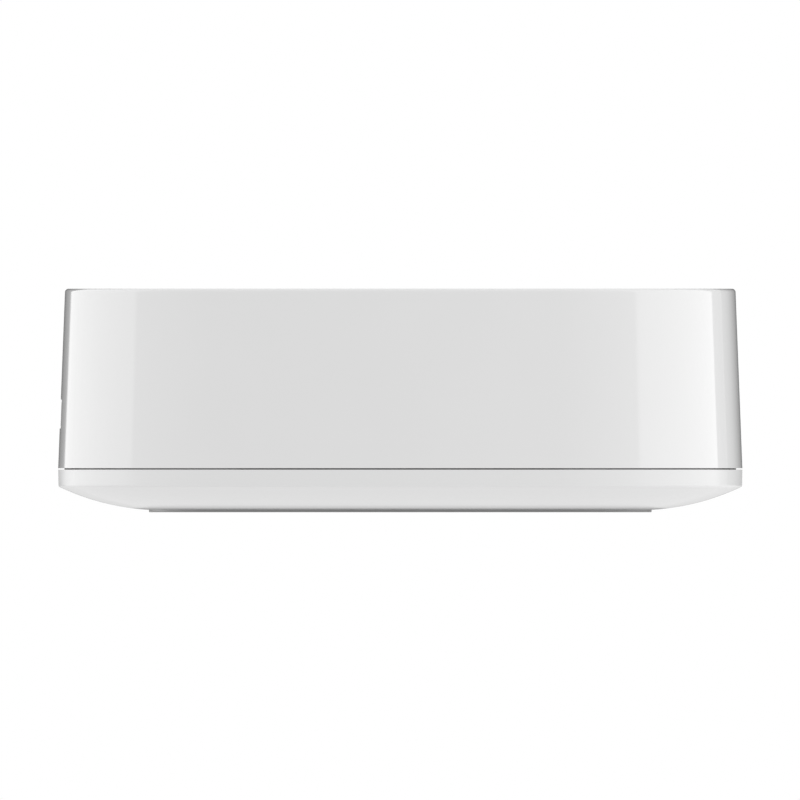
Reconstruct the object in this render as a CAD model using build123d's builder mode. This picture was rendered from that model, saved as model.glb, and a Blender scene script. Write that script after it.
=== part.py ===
"""Smart home hub: a soft-square table-top box in two shells, with its board, sockets and buttons.

Millimetres. +Z is up, the front faces -Y, the sockets face +Y and the pairing button faces -X.
The origin is under the middle of the hub, on the surface that its foot ring stands on.
"""
import os
from math import acos, asin, degrees, sin, sqrt, tan, radians

from build123d import *

os.makedirs("parts", exist_ok=True)

# ---------------------------------------------------------------- driving dimensions
# The outline is a soft square: four gently bowed sides that run into four large corners.
body_width = 98.0          # across two opposite sides, at the seam
overall_height = 32.0
corner_radius = 29.4
side_radius = 132.7        # bow of each side
wall_draft = 2.2           # degrees that the upper shell's sides lean in
top_edge_radius = 0.5

# Lower shell: an upright band under the seam, then a shallow bowl down to the foot ring.
foot_drop = 0.3            # the ring stands proud of the shell by this much
crease_height = 3.65       # where the band turns into the bowl
seam_height = 6.2
seam_gap = 0.2
bowl_radius = 34.0
band_lean = 0.05           # the band narrows by this much down to the crease

# Shell walls and the lip that lines them up.
wall = 2.2
top_thickness = 2.2
floor_thickness = 2.0
lip_thickness = 1.2
lip_height = 2.4
lip_gap = 0.25
core_half_width = 31.0     # flat middle of the lower shell, before its bowl is swept round it

# Foot ring and blank label.
foot_inset = 13.0          # outer edge of the ring, in from the widest outline
foot_width = 9.0
foot_groove = 0.6
glue_gap = 0.1
label_size = 34.0
label_thickness = 0.15
label_recess = 0.2

# Circuit board, clamped between the bosses of both shells.
board_inset = 6.5
board_thickness = 1.6
board_underside = 10.0
case_boss_radius = 3.6
case_screw_radius = 1.5
case_head_radius = 2.75
case_head_height = 1.9
case_screw_length = 15.0
case_seat = 2.6            # plastic left under the case screw heads, above the foot ring
screw_gap = 0.05
hole_gap = 0.3
board_screw_radius = 1.2
board_head_radius = 2.3
board_head_height = 1.5
board_screw_length = 6.0
board_screw_x = 34.0
board_screw_y = 8.0

# Rear bay with the port plate.
port_recess = 3.25         # plate face, in from the back of the hub
plate_thickness = 1.8
plate_half_width = 22.85
plate_overlap = 1.85       # how far the plate reaches behind the window's edges
plate_gap = 0.15
bay_top = 26.0
bay_frame = 2.0

# Ethernet socket, 8P8C, latch side down.
ethernet_x = -10.0
jack_width = 16.1
jack_height = 13.4
jack_depth = 18.0
jack_sheet = 0.25
jack_setback = 0.25        # socket face behind the plate face
plug_width = 11.8
plug_height = 7.0
plug_depth = 13.0
plug_floor = 4.0           # from the board to the wide part of the cavity
latch_width = 6.2
latch_height = 1.6
latch_tip_width = 3.6
latch_tip_height = 1.2
contact_count = 8
contact_pitch = 1.02
contact_width = 0.45
lamp_width = 2.8
lamp_height = 1.3
lamp_depth = 6.0

# Power inlet, 5.5 mm barrel with a 2.1 mm pin.
power_x = 9.5
power_width = 9.0
power_height = 11.0
power_depth = 14.0
power_axis_height = 6.5
barrel_bore_radius = 3.2
barrel_bore_depth = 10.0
power_pin_radius = 1.05
power_window_radius = 4.2

# Push switches: the pairing switch on the left wall, the reset switch behind a pinhole.
button_height = 14.06      # centre of the pairing button, above the table
button_width = 12.2        # opening in the wall
button_tall = 4.15
button_corner = 0.6
button_gap = 0.18          # round the cap
button_setback = 0.12      # cap face behind the wall's surface
button_travel = 0.3
flange_overlap = 0.9
flange_thickness = 0.8
flange_gap = 0.5           # leaves room for the bow and the lean of the wall in front
rib_thickness = 1.0
rib_gap = 0.3
switch_width = 6.0
switch_depth = 3.6
switch_height = 4.9
plunger_radius = 1.0
plunger_gap = 0.1
plunger_reach = 1.1        # plunger standing out of its switch
plunger_inside = 1.0
reset_x = 18.5
reset_axis_height = 2.4
pinhole_radius = 0.8

# Light pipe.
light_inset = 9.0          # from the front of the hub back to the light
light_radius = 1.5
light_gap = 0.1
light_flange_radius = 2.6
light_flange_height = 1.4
collar_wall = 0.8

# Parts on the board.
processor_size = 15.0
processor_height = 1.4
pad_thickness = 0.8
sink_size = 26.0
sink_base = 1.5
sink_height = 8.0
fin_count = 7
fin_thickness = 1.1
sink_pin_offset = 10.8
sink_pin_radius = 1.4
sink_pin_head_radius = 2.1
sink_pin_head_height = 1.2
module_width = 18.0
module_depth = 16.0
module_thickness = 0.8
module_edge = 4.5          # from the board's front edge to the radio modules
can_width = 14.0
can_depth = 12.0
can_height = 2.2
can_sheet = 0.2
antenna_length = 14.0
antenna_height = 5.5
antenna_sheet = 0.3
antenna_strip = 1.8
antenna_edge = 4.5
antenna_y = -20.0

# ---------------------------------------------------------------- worked-out values
half_width = body_width / 2
bow_offset = side_radius - half_width
arc_offset = side_radius - corner_radius
corner_centre = (sqrt(2 * arc_offset**2 - bow_offset**2) - bow_offset) / 2
side_angle = degrees(asin(corner_centre / arc_offset))

underside = foot_drop
floor_top = underside + floor_thickness
rim_height = seam_height - seam_gap / 2
upper_foot = seam_height + seam_gap / 2
ceiling = overall_height - top_thickness
board_top = board_underside + board_thickness
base_wall = wall + lip_gap + lip_thickness
board_half = half_width - board_inset

crease_angle = acos(1 - (crease_height - underside) / bowl_radius)
flat_half = half_width - band_lean - bowl_radius * sin(crease_angle)
core_inset = half_width - core_half_width

foot_middle = foot_inset + foot_width / 2
boss_xy = corner_centre + (corner_radius - foot_middle) / sqrt(2)
groove_top = underside + foot_groove
case_seat_height = groove_top + case_seat

plate_face = half_width - port_recess
plate_back = plate_face - plate_thickness
window_half = plate_half_width - plate_overlap
frame_front = plate_back - plate_gap - bay_frame
frame_half = plate_half_width + plate_gap + bay_frame
plate_top = bay_top + plate_overlap
jack_face = plate_face - jack_setback
board_back = frame_front - 0.7
power_face = plate_back - plate_gap
power_axis = board_top + power_axis_height

wall_at_button = half_width - (button_height - upper_foot) * tan(radians(wall_draft))
inner_wall_at_button = wall_at_button - wall
button_switch_front = board_half - hole_gap
reset_switch_front = board_back - hole_gap
reset_axis = board_top + reset_axis_height
light_y = light_inset - half_width

low = (Align.CENTER, Align.CENTER, Align.MIN)
backwards = (Align.CENTER, Align.MAX, Align.MIN)


def soft_square(inset):
    """Draws the outline, moved inwards by inset, in the open BuildLine: eight tangent arcs."""
    for quarter in range(4):
        turn = 90 * quarter
        side_centre = Vector(-bow_offset, 0).rotate(Axis.Z, turn)
        corner = Vector(corner_centre, corner_centre).rotate(Axis.Z, turn)
        CenterArc(side_centre, side_radius - inset, turn - side_angle, 2 * side_angle)
        CenterArc(corner, corner_radius - inset, turn + side_angle, 90 - 2 * side_angle)


def soft_square_face(inset, mode=Mode.ADD):
    """Fills the outline, moved inwards by inset, in the open BuildSketch."""
    with BuildLine() as outline:
        soft_square(inset)
    make_face(outline.edges(), mode=mode)


def board_box(x, y, size_x, size_y, height, lift=0.0, mode=Mode.ADD):
    """Stands a box on the board, in the open BuildPart."""
    with Locations((x, y, board_top + lift)):
        Box(size_x, size_y, height, align=low, mode=mode)


# ---------------------------------------------------------------- lower shell
with BuildLine() as core_outline:
    soft_square(core_inset)
core_path = core_outline.wires()[0]
section_plane = Plane(
    origin=core_path @ 0,
    x_dir=(core_path % 0).cross(Vector(0, 0, 1)),
    z_dir=-(core_path % 0),
)


def bowl_section(bottom, radius, outer_half, top):
    """Draws the bowl's section, from the core outwards, in the open BuildSketch."""
    flat_run = flat_half - core_half_width
    outer_run = outer_half - core_half_width
    arc_angle = degrees(asin((outer_run - flat_run) / radius))
    with BuildLine() as section:
        floor_line = Line((0, bottom), (flat_run, bottom))
        bowl = CenterArc((flat_run, bottom + radius), radius, -90, arc_angle)
        side = Line(bowl @ 1, (outer_run, top))
        rim = Line(side @ 1, (0, top))
        Line(rim @ 1, floor_line @ 0)
    make_face(section.edges())


with BuildPart() as base_cavity:
    with BuildSketch(Plane.XY.offset(floor_top)):
        soft_square_face(core_inset)
    extrude(amount=rim_height + lip_height - floor_top)
    with BuildSketch(section_plane):
        bowl_section(
            floor_top,
            bowl_radius - floor_thickness,
            half_width - base_wall,
            rim_height + lip_height,
        )
    sweep(path=core_path)
    # The sill under the port plate stays solid.
    with Locations((0, frame_front, floor_top)):
        Box(
            2 * frame_half,
            half_width,
            overall_height,
            align=(Align.CENTER, Align.MIN, Align.MIN),
            mode=Mode.SUBTRACT,
        )

with BuildPart() as base_shell:
    with BuildSketch(Plane.XY.offset(underside)):
        soft_square_face(core_inset)
    extrude(amount=rim_height - underside)
    with BuildSketch(section_plane):
        flat_run = flat_half - core_half_width
        with BuildLine():
            floor_line = Line((0, underside), (flat_run, underside))
            bowl = CenterArc(
                (flat_run, underside + bowl_radius), bowl_radius, -90, degrees(crease_angle)
            )
            band = Line(bowl @ 1, (half_width - core_half_width, rim_height))
            rim = Line(band @ 1, (0, rim_height))
            Line(rim @ 1, floor_line @ 0)
        make_face()
    sweep(path=core_path)
    # Lip that stands up inside the upper shell.
    with BuildSketch(Plane.XY.offset(rim_height)):
        soft_square_face(wall + lip_gap)
    extrude(amount=lip_height)
    add(base_cavity.part, mode=Mode.SUBTRACT)
    # The lip stops short of the port plate and its frame.
    with Locations((0, frame_front - hole_gap, rim_height)):
        Box(
            2 * (frame_half + hole_gap),
            half_width,
            lip_height,
            align=(Align.CENTER, Align.MIN, Align.MIN),
            mode=Mode.SUBTRACT,
        )
    # Bosses that carry the board: four for the case screws, two for the board's own.
    with BuildSketch(Plane.XY.offset(floor_top)):
        with GridLocations(2 * boss_xy, 2 * boss_xy, 2, 2):
            Circle(case_boss_radius)
        with Locations((board_screw_x, board_screw_y), (-board_screw_x, board_screw_y)):
            Circle(board_head_radius)
    extrude(amount=board_underside - floor_top)
    with BuildSketch(Plane.XY.offset(underside)):
        with GridLocations(2 * boss_xy, 2 * boss_xy, 2, 2):
            Circle(case_screw_radius + hole_gap)
    extrude(amount=board_underside - underside, mode=Mode.SUBTRACT)
    with BuildSketch(Plane.XY.offset(underside)):
        with GridLocations(2 * boss_xy, 2 * boss_xy, 2, 2):
            Circle(case_head_radius + hole_gap)
    extrude(amount=case_seat_height - underside, mode=Mode.SUBTRACT)
    with BuildSketch(Plane.XY.offset(board_underside)):
        with Locations((board_screw_x, board_screw_y), (-board_screw_x, board_screw_y)):
            Circle(board_screw_radius + screw_gap)
    extrude(amount=-(board_screw_length - board_thickness + hole_gap), mode=Mode.SUBTRACT)
    # Groove for the foot ring and recess for the label.
    with BuildSketch(Plane.XY.offset(underside)):
        soft_square_face(foot_inset - glue_gap)
        soft_square_face(foot_inset + foot_width + glue_gap, mode=Mode.SUBTRACT)
    extrude(amount=foot_groove, mode=Mode.SUBTRACT)
    with BuildSketch(Plane.XY.offset(underside)):
        RectangleRounded(label_size + 2 * glue_gap, label_size + 2 * glue_gap, 2.0)
    extrude(amount=label_recess, mode=Mode.SUBTRACT)

with BuildPart() as foot_ring:
    with BuildSketch():
        soft_square_face(foot_inset)
        soft_square_face(foot_inset + foot_width, mode=Mode.SUBTRACT)
    extrude(amount=groove_top)

with BuildPart() as rating_label:
    with BuildSketch(Plane.XY.offset(underside + label_recess - label_thickness)):
        RectangleRounded(label_size, label_size, 2.0)
    extrude(amount=label_thickness)

# ---------------------------------------------------------------- upper shell
with BuildPart() as upper_room:
    with BuildSketch(Plane.XY.offset(upper_foot)):
        soft_square_face(wall)
    extrude(amount=ceiling - upper_foot, taper=wall_draft)
    # The frame that holds the port plate stays solid.
    with Locations((0, frame_front, upper_foot)):
        Box(
            2 * frame_half,
            half_width,
            overall_height,
            align=(Align.CENTER, Align.MIN, Align.MIN),
            mode=Mode.SUBTRACT,
        )

with BuildPart() as top_shell:
    with BuildSketch(Plane.XY.offset(upper_foot)):
        soft_square_face(0)
    extrude(amount=overall_height - upper_foot, taper=wall_draft)
    fillet(top_shell.faces().sort_by(Axis.Z)[-1].edges(), top_edge_radius)
    add(upper_room.part, mode=Mode.SUBTRACT)
    # Bosses for the case screws.
    with BuildSketch(Plane.XY.offset(board_top)):
        with GridLocations(2 * boss_xy, 2 * boss_xy, 2, 2):
            Circle(case_boss_radius)
    extrude(amount=ceiling - board_top)
    with BuildSketch(Plane.XY.offset(board_top)):
        with GridLocations(2 * boss_xy, 2 * boss_xy, 2, 2):
            Circle(case_screw_radius + screw_gap)
    extrude(
        amount=case_seat_height + case_screw_length + hole_gap - board_top,
        mode=Mode.SUBTRACT,
    )
    # Window of the rear bay, and the groove that the plate slides up into.
    with Locations((0, frame_front, upper_foot)):
        Box(
            2 * window_half,
            half_width,
            bay_top - upper_foot,
            align=(Align.CENTER, Align.MIN, Align.MIN),
            mode=Mode.SUBTRACT,
        )
    with Locations((0, plate_face + plate_gap, upper_foot)):
        Box(
            2 * (plate_half_width + plate_gap),
            plate_thickness + 2 * plate_gap,
            plate_top + plate_gap - upper_foot,
            align=backwards,
            mode=Mode.SUBTRACT,
        )
    # Ribs that guide the pairing button's flange.
    rib_y = button_width / 2 + flange_overlap + rib_gap + rib_thickness / 2
    rib_outer = wall_at_button - wall / 2 - (overall_height - button_height) * tan(
        radians(wall_draft)
    )
    rib_inner = inner_wall_at_button - flange_gap - flange_thickness - rib_gap
    rib_foot = button_height - button_tall / 2 - flange_overlap - rib_thickness
    with Locations((-rib_inner, rib_y, rib_foot), (-rib_inner, -rib_y, rib_foot)):
        Box(
            rib_outer - rib_inner,
            rib_thickness,
            ceiling - rib_foot,
            align=(Align.MAX, Align.CENTER, Align.MIN),
        )
    # Opening for the pairing button.
    with BuildSketch(Plane.YZ.offset(-half_width)):
        with Locations((0, button_height)):
            RectangleRounded(button_width, button_tall, button_corner)
    extrude(amount=half_width - inner_wall_at_button + wall / 2, mode=Mode.SUBTRACT)
    # Collar and hole for the light pipe.
    with BuildSketch(Plane.XY.offset(ceiling)):
        with Locations((0, light_y)):
            Circle(light_flange_radius + light_gap + collar_wall)
            Circle(light_flange_radius + light_gap, mode=Mode.SUBTRACT)
    extrude(amount=-light_flange_height)
    with BuildSketch(Plane.XY.offset(ceiling)):
        with Locations((0, light_y)):
            Circle(light_radius + light_gap)
    extrude(amount=top_thickness, mode=Mode.SUBTRACT)

with BuildPart() as port_plate:
    with Locations((0, plate_face, rim_height)):
        Box(2 * plate_half_width, plate_thickness, plate_top - rim_height, align=backwards)
    with Locations((ethernet_x, plate_face, board_top - hole_gap)):
        Box(
            jack_width + 2 * hole_gap,
            plate_thickness,
            jack_height + 2 * hole_gap,
            align=backwards,
            mode=Mode.SUBTRACT,
        )
    with BuildSketch(Plane.XZ.offset(-plate_face)):
        with Locations((power_x, power_axis)):
            Circle(power_window_radius)
        with Locations((reset_x, reset_axis)):
            Circle(pinhole_radius)
    extrude(amount=plate_thickness, mode=Mode.SUBTRACT)

# ---------------------------------------------------------------- fasteners
with BuildPart() as case_screws:
    with BuildSketch(Plane.XY.offset(case_seat_height)):
        with GridLocations(2 * boss_xy, 2 * boss_xy, 2, 2):
            Circle(case_screw_radius)
    extrude(amount=case_screw_length)
    with BuildSketch(Plane.XY.offset(case_seat_height)):
        with GridLocations(2 * boss_xy, 2 * boss_xy, 2, 2):
            Circle(case_head_radius)
    extrude(amount=-case_head_height)
    chamfer(case_screws.faces().filter_by(Axis.Z).group_by(Axis.Z)[0].edges(), 0.4)
    with BuildSketch(Plane.XY.offset(case_seat_height - case_head_height)):
        with GridLocations(2 * boss_xy, 2 * boss_xy, 2, 2):
            SlotOverall(3.0, 0.7)
            SlotOverall(3.0, 0.7, rotation=90)
    extrude(amount=1.0, mode=Mode.SUBTRACT)

with BuildPart() as board_screws:
    with BuildSketch(Plane.XY.offset(board_top)):
        with Locations((board_screw_x, board_screw_y), (-board_screw_x, board_screw_y)):
            Circle(board_screw_radius)
    extrude(amount=-board_screw_length)
    with BuildSketch(Plane.XY.offset(board_top)):
        with Locations((board_screw_x, board_screw_y), (-board_screw_x, board_screw_y)):
            Circle(board_head_radius)
    extrude(amount=board_head_height)
    chamfer(board_screws.faces().filter_by(Axis.Z).group_by(Axis.Z)[-1].edges(), 0.3)
    with BuildSketch(Plane.XY.offset(board_top + board_head_height)):
        with Locations((board_screw_x, board_screw_y), (-board_screw_x, board_screw_y)):
            SlotOverall(2.6, 0.6)
            SlotOverall(2.6, 0.6, rotation=90)
    extrude(amount=-0.8, mode=Mode.SUBTRACT)

# ---------------------------------------------------------------- board
with BuildPart() as main_board:
    with BuildSketch(Plane.XY.offset(board_underside)):
        soft_square_face(board_inset)
        with Locations((0, board_back)):
            Rectangle(
                body_width, half_width, align=(Align.CENTER, Align.MIN), mode=Mode.SUBTRACT
            )
        with GridLocations(2 * boss_xy, 2 * boss_xy, 2, 2):
            Circle(case_screw_radius + hole_gap, mode=Mode.SUBTRACT)
        with Locations((board_screw_x, board_screw_y), (-board_screw_x, board_screw_y)):
            Circle(board_screw_radius + screw_gap, mode=Mode.SUBTRACT)
        with Locations((sink_pin_offset, sink_pin_offset), (-sink_pin_offset, -sink_pin_offset)):
            Circle(sink_pin_radius + screw_gap, mode=Mode.SUBTRACT)
    extrude(amount=board_thickness)

with BuildPart() as processor:
    board_box(0, 0, processor_size, processor_size, processor_height)

with BuildPart() as thermal_pad:
    board_box(0, 0, processor_size - 1, processor_size - 1, pad_thickness, processor_height)

sink_lift = processor_height + pad_thickness
with BuildPart() as heat_sink:
    board_box(0, 0, sink_size, sink_size, sink_base, sink_lift)
    fin_pitch = (sink_size - fin_thickness) / (fin_count - 1)
    with Locations((0, 0, board_top + sink_lift + sink_base)):
        with GridLocations(fin_pitch, 1, fin_count, 1):
            Box(fin_thickness, sink_size, sink_height - sink_base, align=low)
    # Clear corners for the two push pins.
    with Locations(
        (sink_pin_offset, sink_pin_offset, board_top + sink_lift + sink_base),
        (-sink_pin_offset, -sink_pin_offset, board_top + sink_lift + sink_base),
    ):
        Box(6.0, 6.0, sink_height, align=low, mode=Mode.SUBTRACT)
    with BuildSketch(Plane.XY.offset(board_top + sink_lift)):
        with Locations((sink_pin_offset, sink_pin_offset), (-sink_pin_offset, -sink_pin_offset)):
            Circle(sink_pin_radius + screw_gap)
    extrude(amount=sink_base, mode=Mode.SUBTRACT)

with BuildPart() as heat_sink_pins:
    pin_foot = board_underside - 1.5
    with BuildSketch(Plane.XY.offset(pin_foot)):
        with Locations((sink_pin_offset, sink_pin_offset), (-sink_pin_offset, -sink_pin_offset)):
            Circle(sink_pin_radius)
    extrude(amount=board_top + sink_lift + sink_base - pin_foot)
    with BuildSketch(Plane.XY.offset(board_top + sink_lift + sink_base)):
        with Locations((sink_pin_offset, sink_pin_offset), (-sink_pin_offset, -sink_pin_offset)):
            Circle(sink_pin_head_radius)
    extrude(amount=sink_pin_head_height)

with BuildPart() as memory_chip:
    board_box(-20.0, -3.0, 9.0, 13.0, 1.1)

with BuildPart() as flash_chip:
    board_box(20.5, -3.0, 11.5, 13.0, 1.0)

with BuildPart() as regulator_chips:
    board_box(29.5, 18.0, 4.0, 5.0, 1.5)
    board_box(-29.5, 18.0, 4.0, 5.0, 1.5)

with BuildPart() as ethernet_transformer:
    board_box(ethernet_x, jack_face - jack_depth - 8.0, 16.0, 11.0, 5.5)

with BuildPart() as power_inductor:
    board_box(20.0, 13.5, 7.0, 7.0, 3.8)
    fillet(power_inductor.edges().filter_by(Axis.Z), 1.5)

cap_radius = 3.15
cap_height = 7.7
cap_lift = 0.4
with BuildPart() as storage_capacitors:
    with BuildSketch(Plane.XY.offset(board_top)):
        with Locations((2.5, 24.0), (19.5, 24.0), (19.5, 31.5)):
            RectangleRounded(2 * cap_radius + 0.3, 2 * cap_radius + 0.3, 0.8)
    extrude(amount=cap_lift + 0.4)
    with BuildSketch(Plane.XY.offset(board_top)):
        with Locations((2.5, 24.0), (19.5, 24.0), (19.5, 31.5)):
            Circle(cap_radius)
    extrude(amount=cap_height)
    fillet(storage_capacitors.faces().filter_by(Axis.Z).group_by(Axis.Z)[-1].edges(), 0.5)

with BuildPart() as crystal_can:
    board_box(-20.0, 8.5, 11.0, 4.6, 3.4)
    fillet(crystal_can.edges().filter_by(Axis.Z), 2.2)

with BuildPart() as ceramic_parts:
    for row_y in (-17.0, -19.5):
        with Locations((0, row_y, board_top)):
            with GridLocations(3.6, 1, 9, 1):
                Box(1.6, 0.9, 0.8, align=low)
    with Locations((8.5, 16.5, board_top)):
        with GridLocations(3.2, 2.2, 3, 2):
            Box(1.6, 0.9, 0.8, align=low)

# ---------------------------------------------------------------- radios
module_y = module_edge + module_depth / 2 - board_half
module_x = module_width / 2 + 2.0


def radio_board(x):
    """A radio daughterboard lying on the main board."""
    board_box(x, module_y, module_width, module_depth, module_thickness)


def shield_can(x):
    """A thin five-sided metal lid over the radio chips."""
    can_y = module_y + (module_depth - can_depth) / 2 - 0.6
    board_box(x, can_y, can_width, can_depth, can_height, module_thickness)
    board_box(
        x,
        can_y,
        can_width - 2 * can_sheet,
        can_depth - 2 * can_sheet,
        can_height - can_sheet,
        module_thickness,
        Mode.SUBTRACT,
    )


with BuildPart() as wifi_module:
    radio_board(-module_x)

with BuildPart() as wifi_shield_can:
    shield_can(-module_x)

with BuildPart() as mesh_radio_module:
    radio_board(module_x)

with BuildPart() as mesh_radio_shield_can:
    shield_can(module_x)


def antenna_outline():
    """Draws an inverted-F strip, on edge, with a feed leg and a ground leg, in the open sketch."""
    with Locations((antenna_y, board_top + antenna_height - antenna_strip)):
        Rectangle(antenna_length, antenna_strip, align=(Align.CENTER, Align.MIN))
    for leg_y in (antenna_length / 2 - 0.6, antenna_length / 2 - 4.0):
        with Locations((antenna_y + leg_y, board_top)):
            Rectangle(1.2, antenna_height - antenna_strip, align=(Align.CENTER, Align.MIN))


with BuildPart() as left_antenna:
    with BuildSketch(Plane.YZ.offset(antenna_edge - board_half)):
        antenna_outline()
    extrude(amount=antenna_sheet)

with BuildPart() as right_antenna:
    with BuildSketch(Plane.YZ.offset(board_half - antenna_edge - antenna_sheet)):
        antenna_outline()
    extrude(amount=antenna_sheet)

# ---------------------------------------------------------------- Ethernet socket
housing_width = jack_width - 2 * jack_sheet
housing_height = jack_height - jack_sheet
cavity_floor = board_top + plug_floor
cavity_top = cavity_floor + plug_height
lamp_x = (housing_width - lamp_width) / 2 - 0.5
lamp_z = cavity_top + (board_top + housing_height - cavity_top - lamp_height) / 2
lamp_spots = [(ethernet_x - lamp_x, jack_face, lamp_z), (ethernet_x + lamp_x, jack_face, lamp_z)]

with BuildPart() as ethernet_jack_housing:
    with Locations((ethernet_x, jack_face, board_top)):
        Box(housing_width, jack_depth - jack_sheet, housing_height, align=backwards)
    with Locations((ethernet_x, jack_face, cavity_floor)):
        Box(plug_width, plug_depth, plug_height, align=backwards, mode=Mode.SUBTRACT)
    with Locations((ethernet_x, jack_face, cavity_floor - latch_height)):
        Box(latch_width, plug_depth, latch_height, align=backwards, mode=Mode.SUBTRACT)
    with Locations((ethernet_x, jack_face, cavity_floor - latch_height - latch_tip_height)):
        Box(latch_tip_width, plug_depth, latch_tip_height, align=backwards, mode=Mode.SUBTRACT)
    with Locations(*lamp_spots):
        Box(lamp_width, lamp_depth, lamp_height, align=backwards, mode=Mode.SUBTRACT)

with BuildPart() as ethernet_jack_lamps:
    with Locations(*lamp_spots):
        Box(lamp_width, lamp_depth, lamp_height, align=backwards)

with BuildPart() as ethernet_jack_shield:
    with Locations((ethernet_x, jack_face, board_top)):
        Box(jack_width, jack_depth, jack_height, align=backwards)
        Box(
            housing_width,
            jack_depth - jack_sheet,
            housing_height,
            align=backwards,
            mode=Mode.SUBTRACT,
        )

contact_front = jack_face - 2.0
contact_back = jack_face - plug_depth
with BuildPart() as ethernet_jack_contacts:
    with BuildSketch(Plane.YZ.offset(ethernet_x)):
        with BuildLine():
            Polyline(
                (contact_front, cavity_top),
                (contact_front, cavity_top - 0.5),
                (contact_back, cavity_top - 2.3),
                (contact_back, cavity_top - 1.8),
                (contact_front - 0.5, cavity_top),
                close=True,
            )
        make_face()
    extrude(amount=contact_width / 2, both=True)
    blade = ethernet_jack_contacts.part
    half_span = contact_pitch * (contact_count - 1) / 2
    with Locations(*[(contact_pitch * i - half_span, 0) for i in range(contact_count)]):
        add(blade)
    add(blade, mode=Mode.SUBTRACT)

# ---------------------------------------------------------------- power inlet
with BuildPart() as power_jack_body:
    with Locations((power_x, power_face, board_top)):
        Box(power_width, power_depth, power_height, align=backwards)
    with BuildSketch(Plane.XZ.offset(-power_face)):
        with Locations((power_x, power_axis)):
            Circle(barrel_bore_radius)
    extrude(amount=barrel_bore_depth, mode=Mode.SUBTRACT)
    with BuildSketch(Plane.XZ.offset(barrel_bore_depth - power_face)):
        with Locations((power_x, power_axis)):
            Circle(power_pin_radius)
    extrude(amount=2.0, mode=Mode.SUBTRACT)

with BuildPart() as power_jack_pin:
    with BuildSketch(Plane.XZ.offset(1.5 - power_face)):
        with Locations((power_x, power_axis)):
            Circle(power_pin_radius)
    extrude(amount=barrel_bore_depth + 2.0 - 1.5)
    fillet(power_jack_pin.faces().sort_by(Axis.Y)[-1].edges(), 0.6)

# ---------------------------------------------------------------- pairing button
button_lift = button_height - board_top
with BuildPart() as pairing_switch:
    with Locations((-button_switch_front, 0, board_top)):
        Box(switch_depth, switch_width, switch_height, align=(Align.MIN, Align.CENTER, Align.MIN))
    with BuildSketch(Plane.YZ.offset(-button_switch_front)):
        with Locations((0, button_height)):
            Circle(plunger_radius + plunger_gap)
    extrude(amount=plunger_inside + 2 * button_travel, mode=Mode.SUBTRACT)

with BuildPart() as pairing_switch_plunger:
    with BuildSketch(Plane.YZ.offset(-button_switch_front - plunger_reach)):
        with Locations((0, button_height)):
            Circle(plunger_radius)
    extrude(amount=plunger_reach + plunger_inside)

with BuildPart() as cap_blank:
    with BuildSketch(Plane.XY.offset(upper_foot)):
        soft_square_face(button_setback)
    extrude(amount=overall_height - upper_foot, taper=wall_draft)

with BuildPart() as pairing_button_cap:
    flange_face = inner_wall_at_button - flange_gap
    cap_width = button_width - 2 * button_gap
    cap_tall = button_tall - 2 * button_gap
    with BuildSketch(Plane.YZ.offset(-half_width)):
        with Locations((0, button_height)):
            RectangleRounded(cap_width, cap_tall, button_corner - button_gap / 2)
    extrude(amount=half_width - flange_face)
    add(cap_blank.part, mode=Mode.INTERSECT)
    fillet(pairing_button_cap.faces().sort_by(Axis.X)[0].edges(), 0.2)
    with Locations((-flange_face, 0, button_height)):
        Box(
            flange_thickness,
            button_width + 2 * flange_overlap,
            button_tall + 2 * flange_overlap,
            align=(Align.MIN, Align.CENTER, Align.CENTER),
        )
    stem_length = flange_face - flange_thickness - button_switch_front - plunger_reach
    with Locations((-flange_face + flange_thickness, 0, button_height)):
        Box(stem_length, 3.0, 3.0, align=(Align.MIN, Align.CENTER, Align.CENTER))

# ---------------------------------------------------------------- reset button
with BuildPart() as reset_switch:
    with Locations((reset_x, reset_switch_front, board_top)):
        Box(switch_width, switch_depth, switch_height, align=backwards)
    with BuildSketch(Plane.XZ.offset(-reset_switch_front)):
        with Locations((reset_x, reset_axis)):
            Circle(plunger_radius + plunger_gap)
    extrude(amount=plunger_inside + 2 * button_travel, mode=Mode.SUBTRACT)

with BuildPart() as reset_switch_plunger:
    with BuildSketch(Plane.XZ.offset(-reset_switch_front - plunger_reach)):
        with Locations((reset_x, reset_axis)):
            Circle(plunger_radius)
    extrude(amount=plunger_reach + plunger_inside)

# ---------------------------------------------------------------- status light
lamp_size = 2.0
with BuildPart() as status_lamp:
    board_box(0, light_y, lamp_size, lamp_size, 1.2)

with BuildPart() as light_pipe:
    pipe_foot = board_top + 1.2 + hole_gap
    with BuildSketch(Plane.XY.offset(pipe_foot)):
        with Locations((0, light_y)):
            Circle(light_radius)
    extrude(amount=overall_height - pipe_foot)
    with BuildSketch(Plane.XY.offset(ceiling)):
        with Locations((0, light_y)):
            Circle(light_flange_radius)
    extrude(amount=-light_flange_height)

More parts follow.
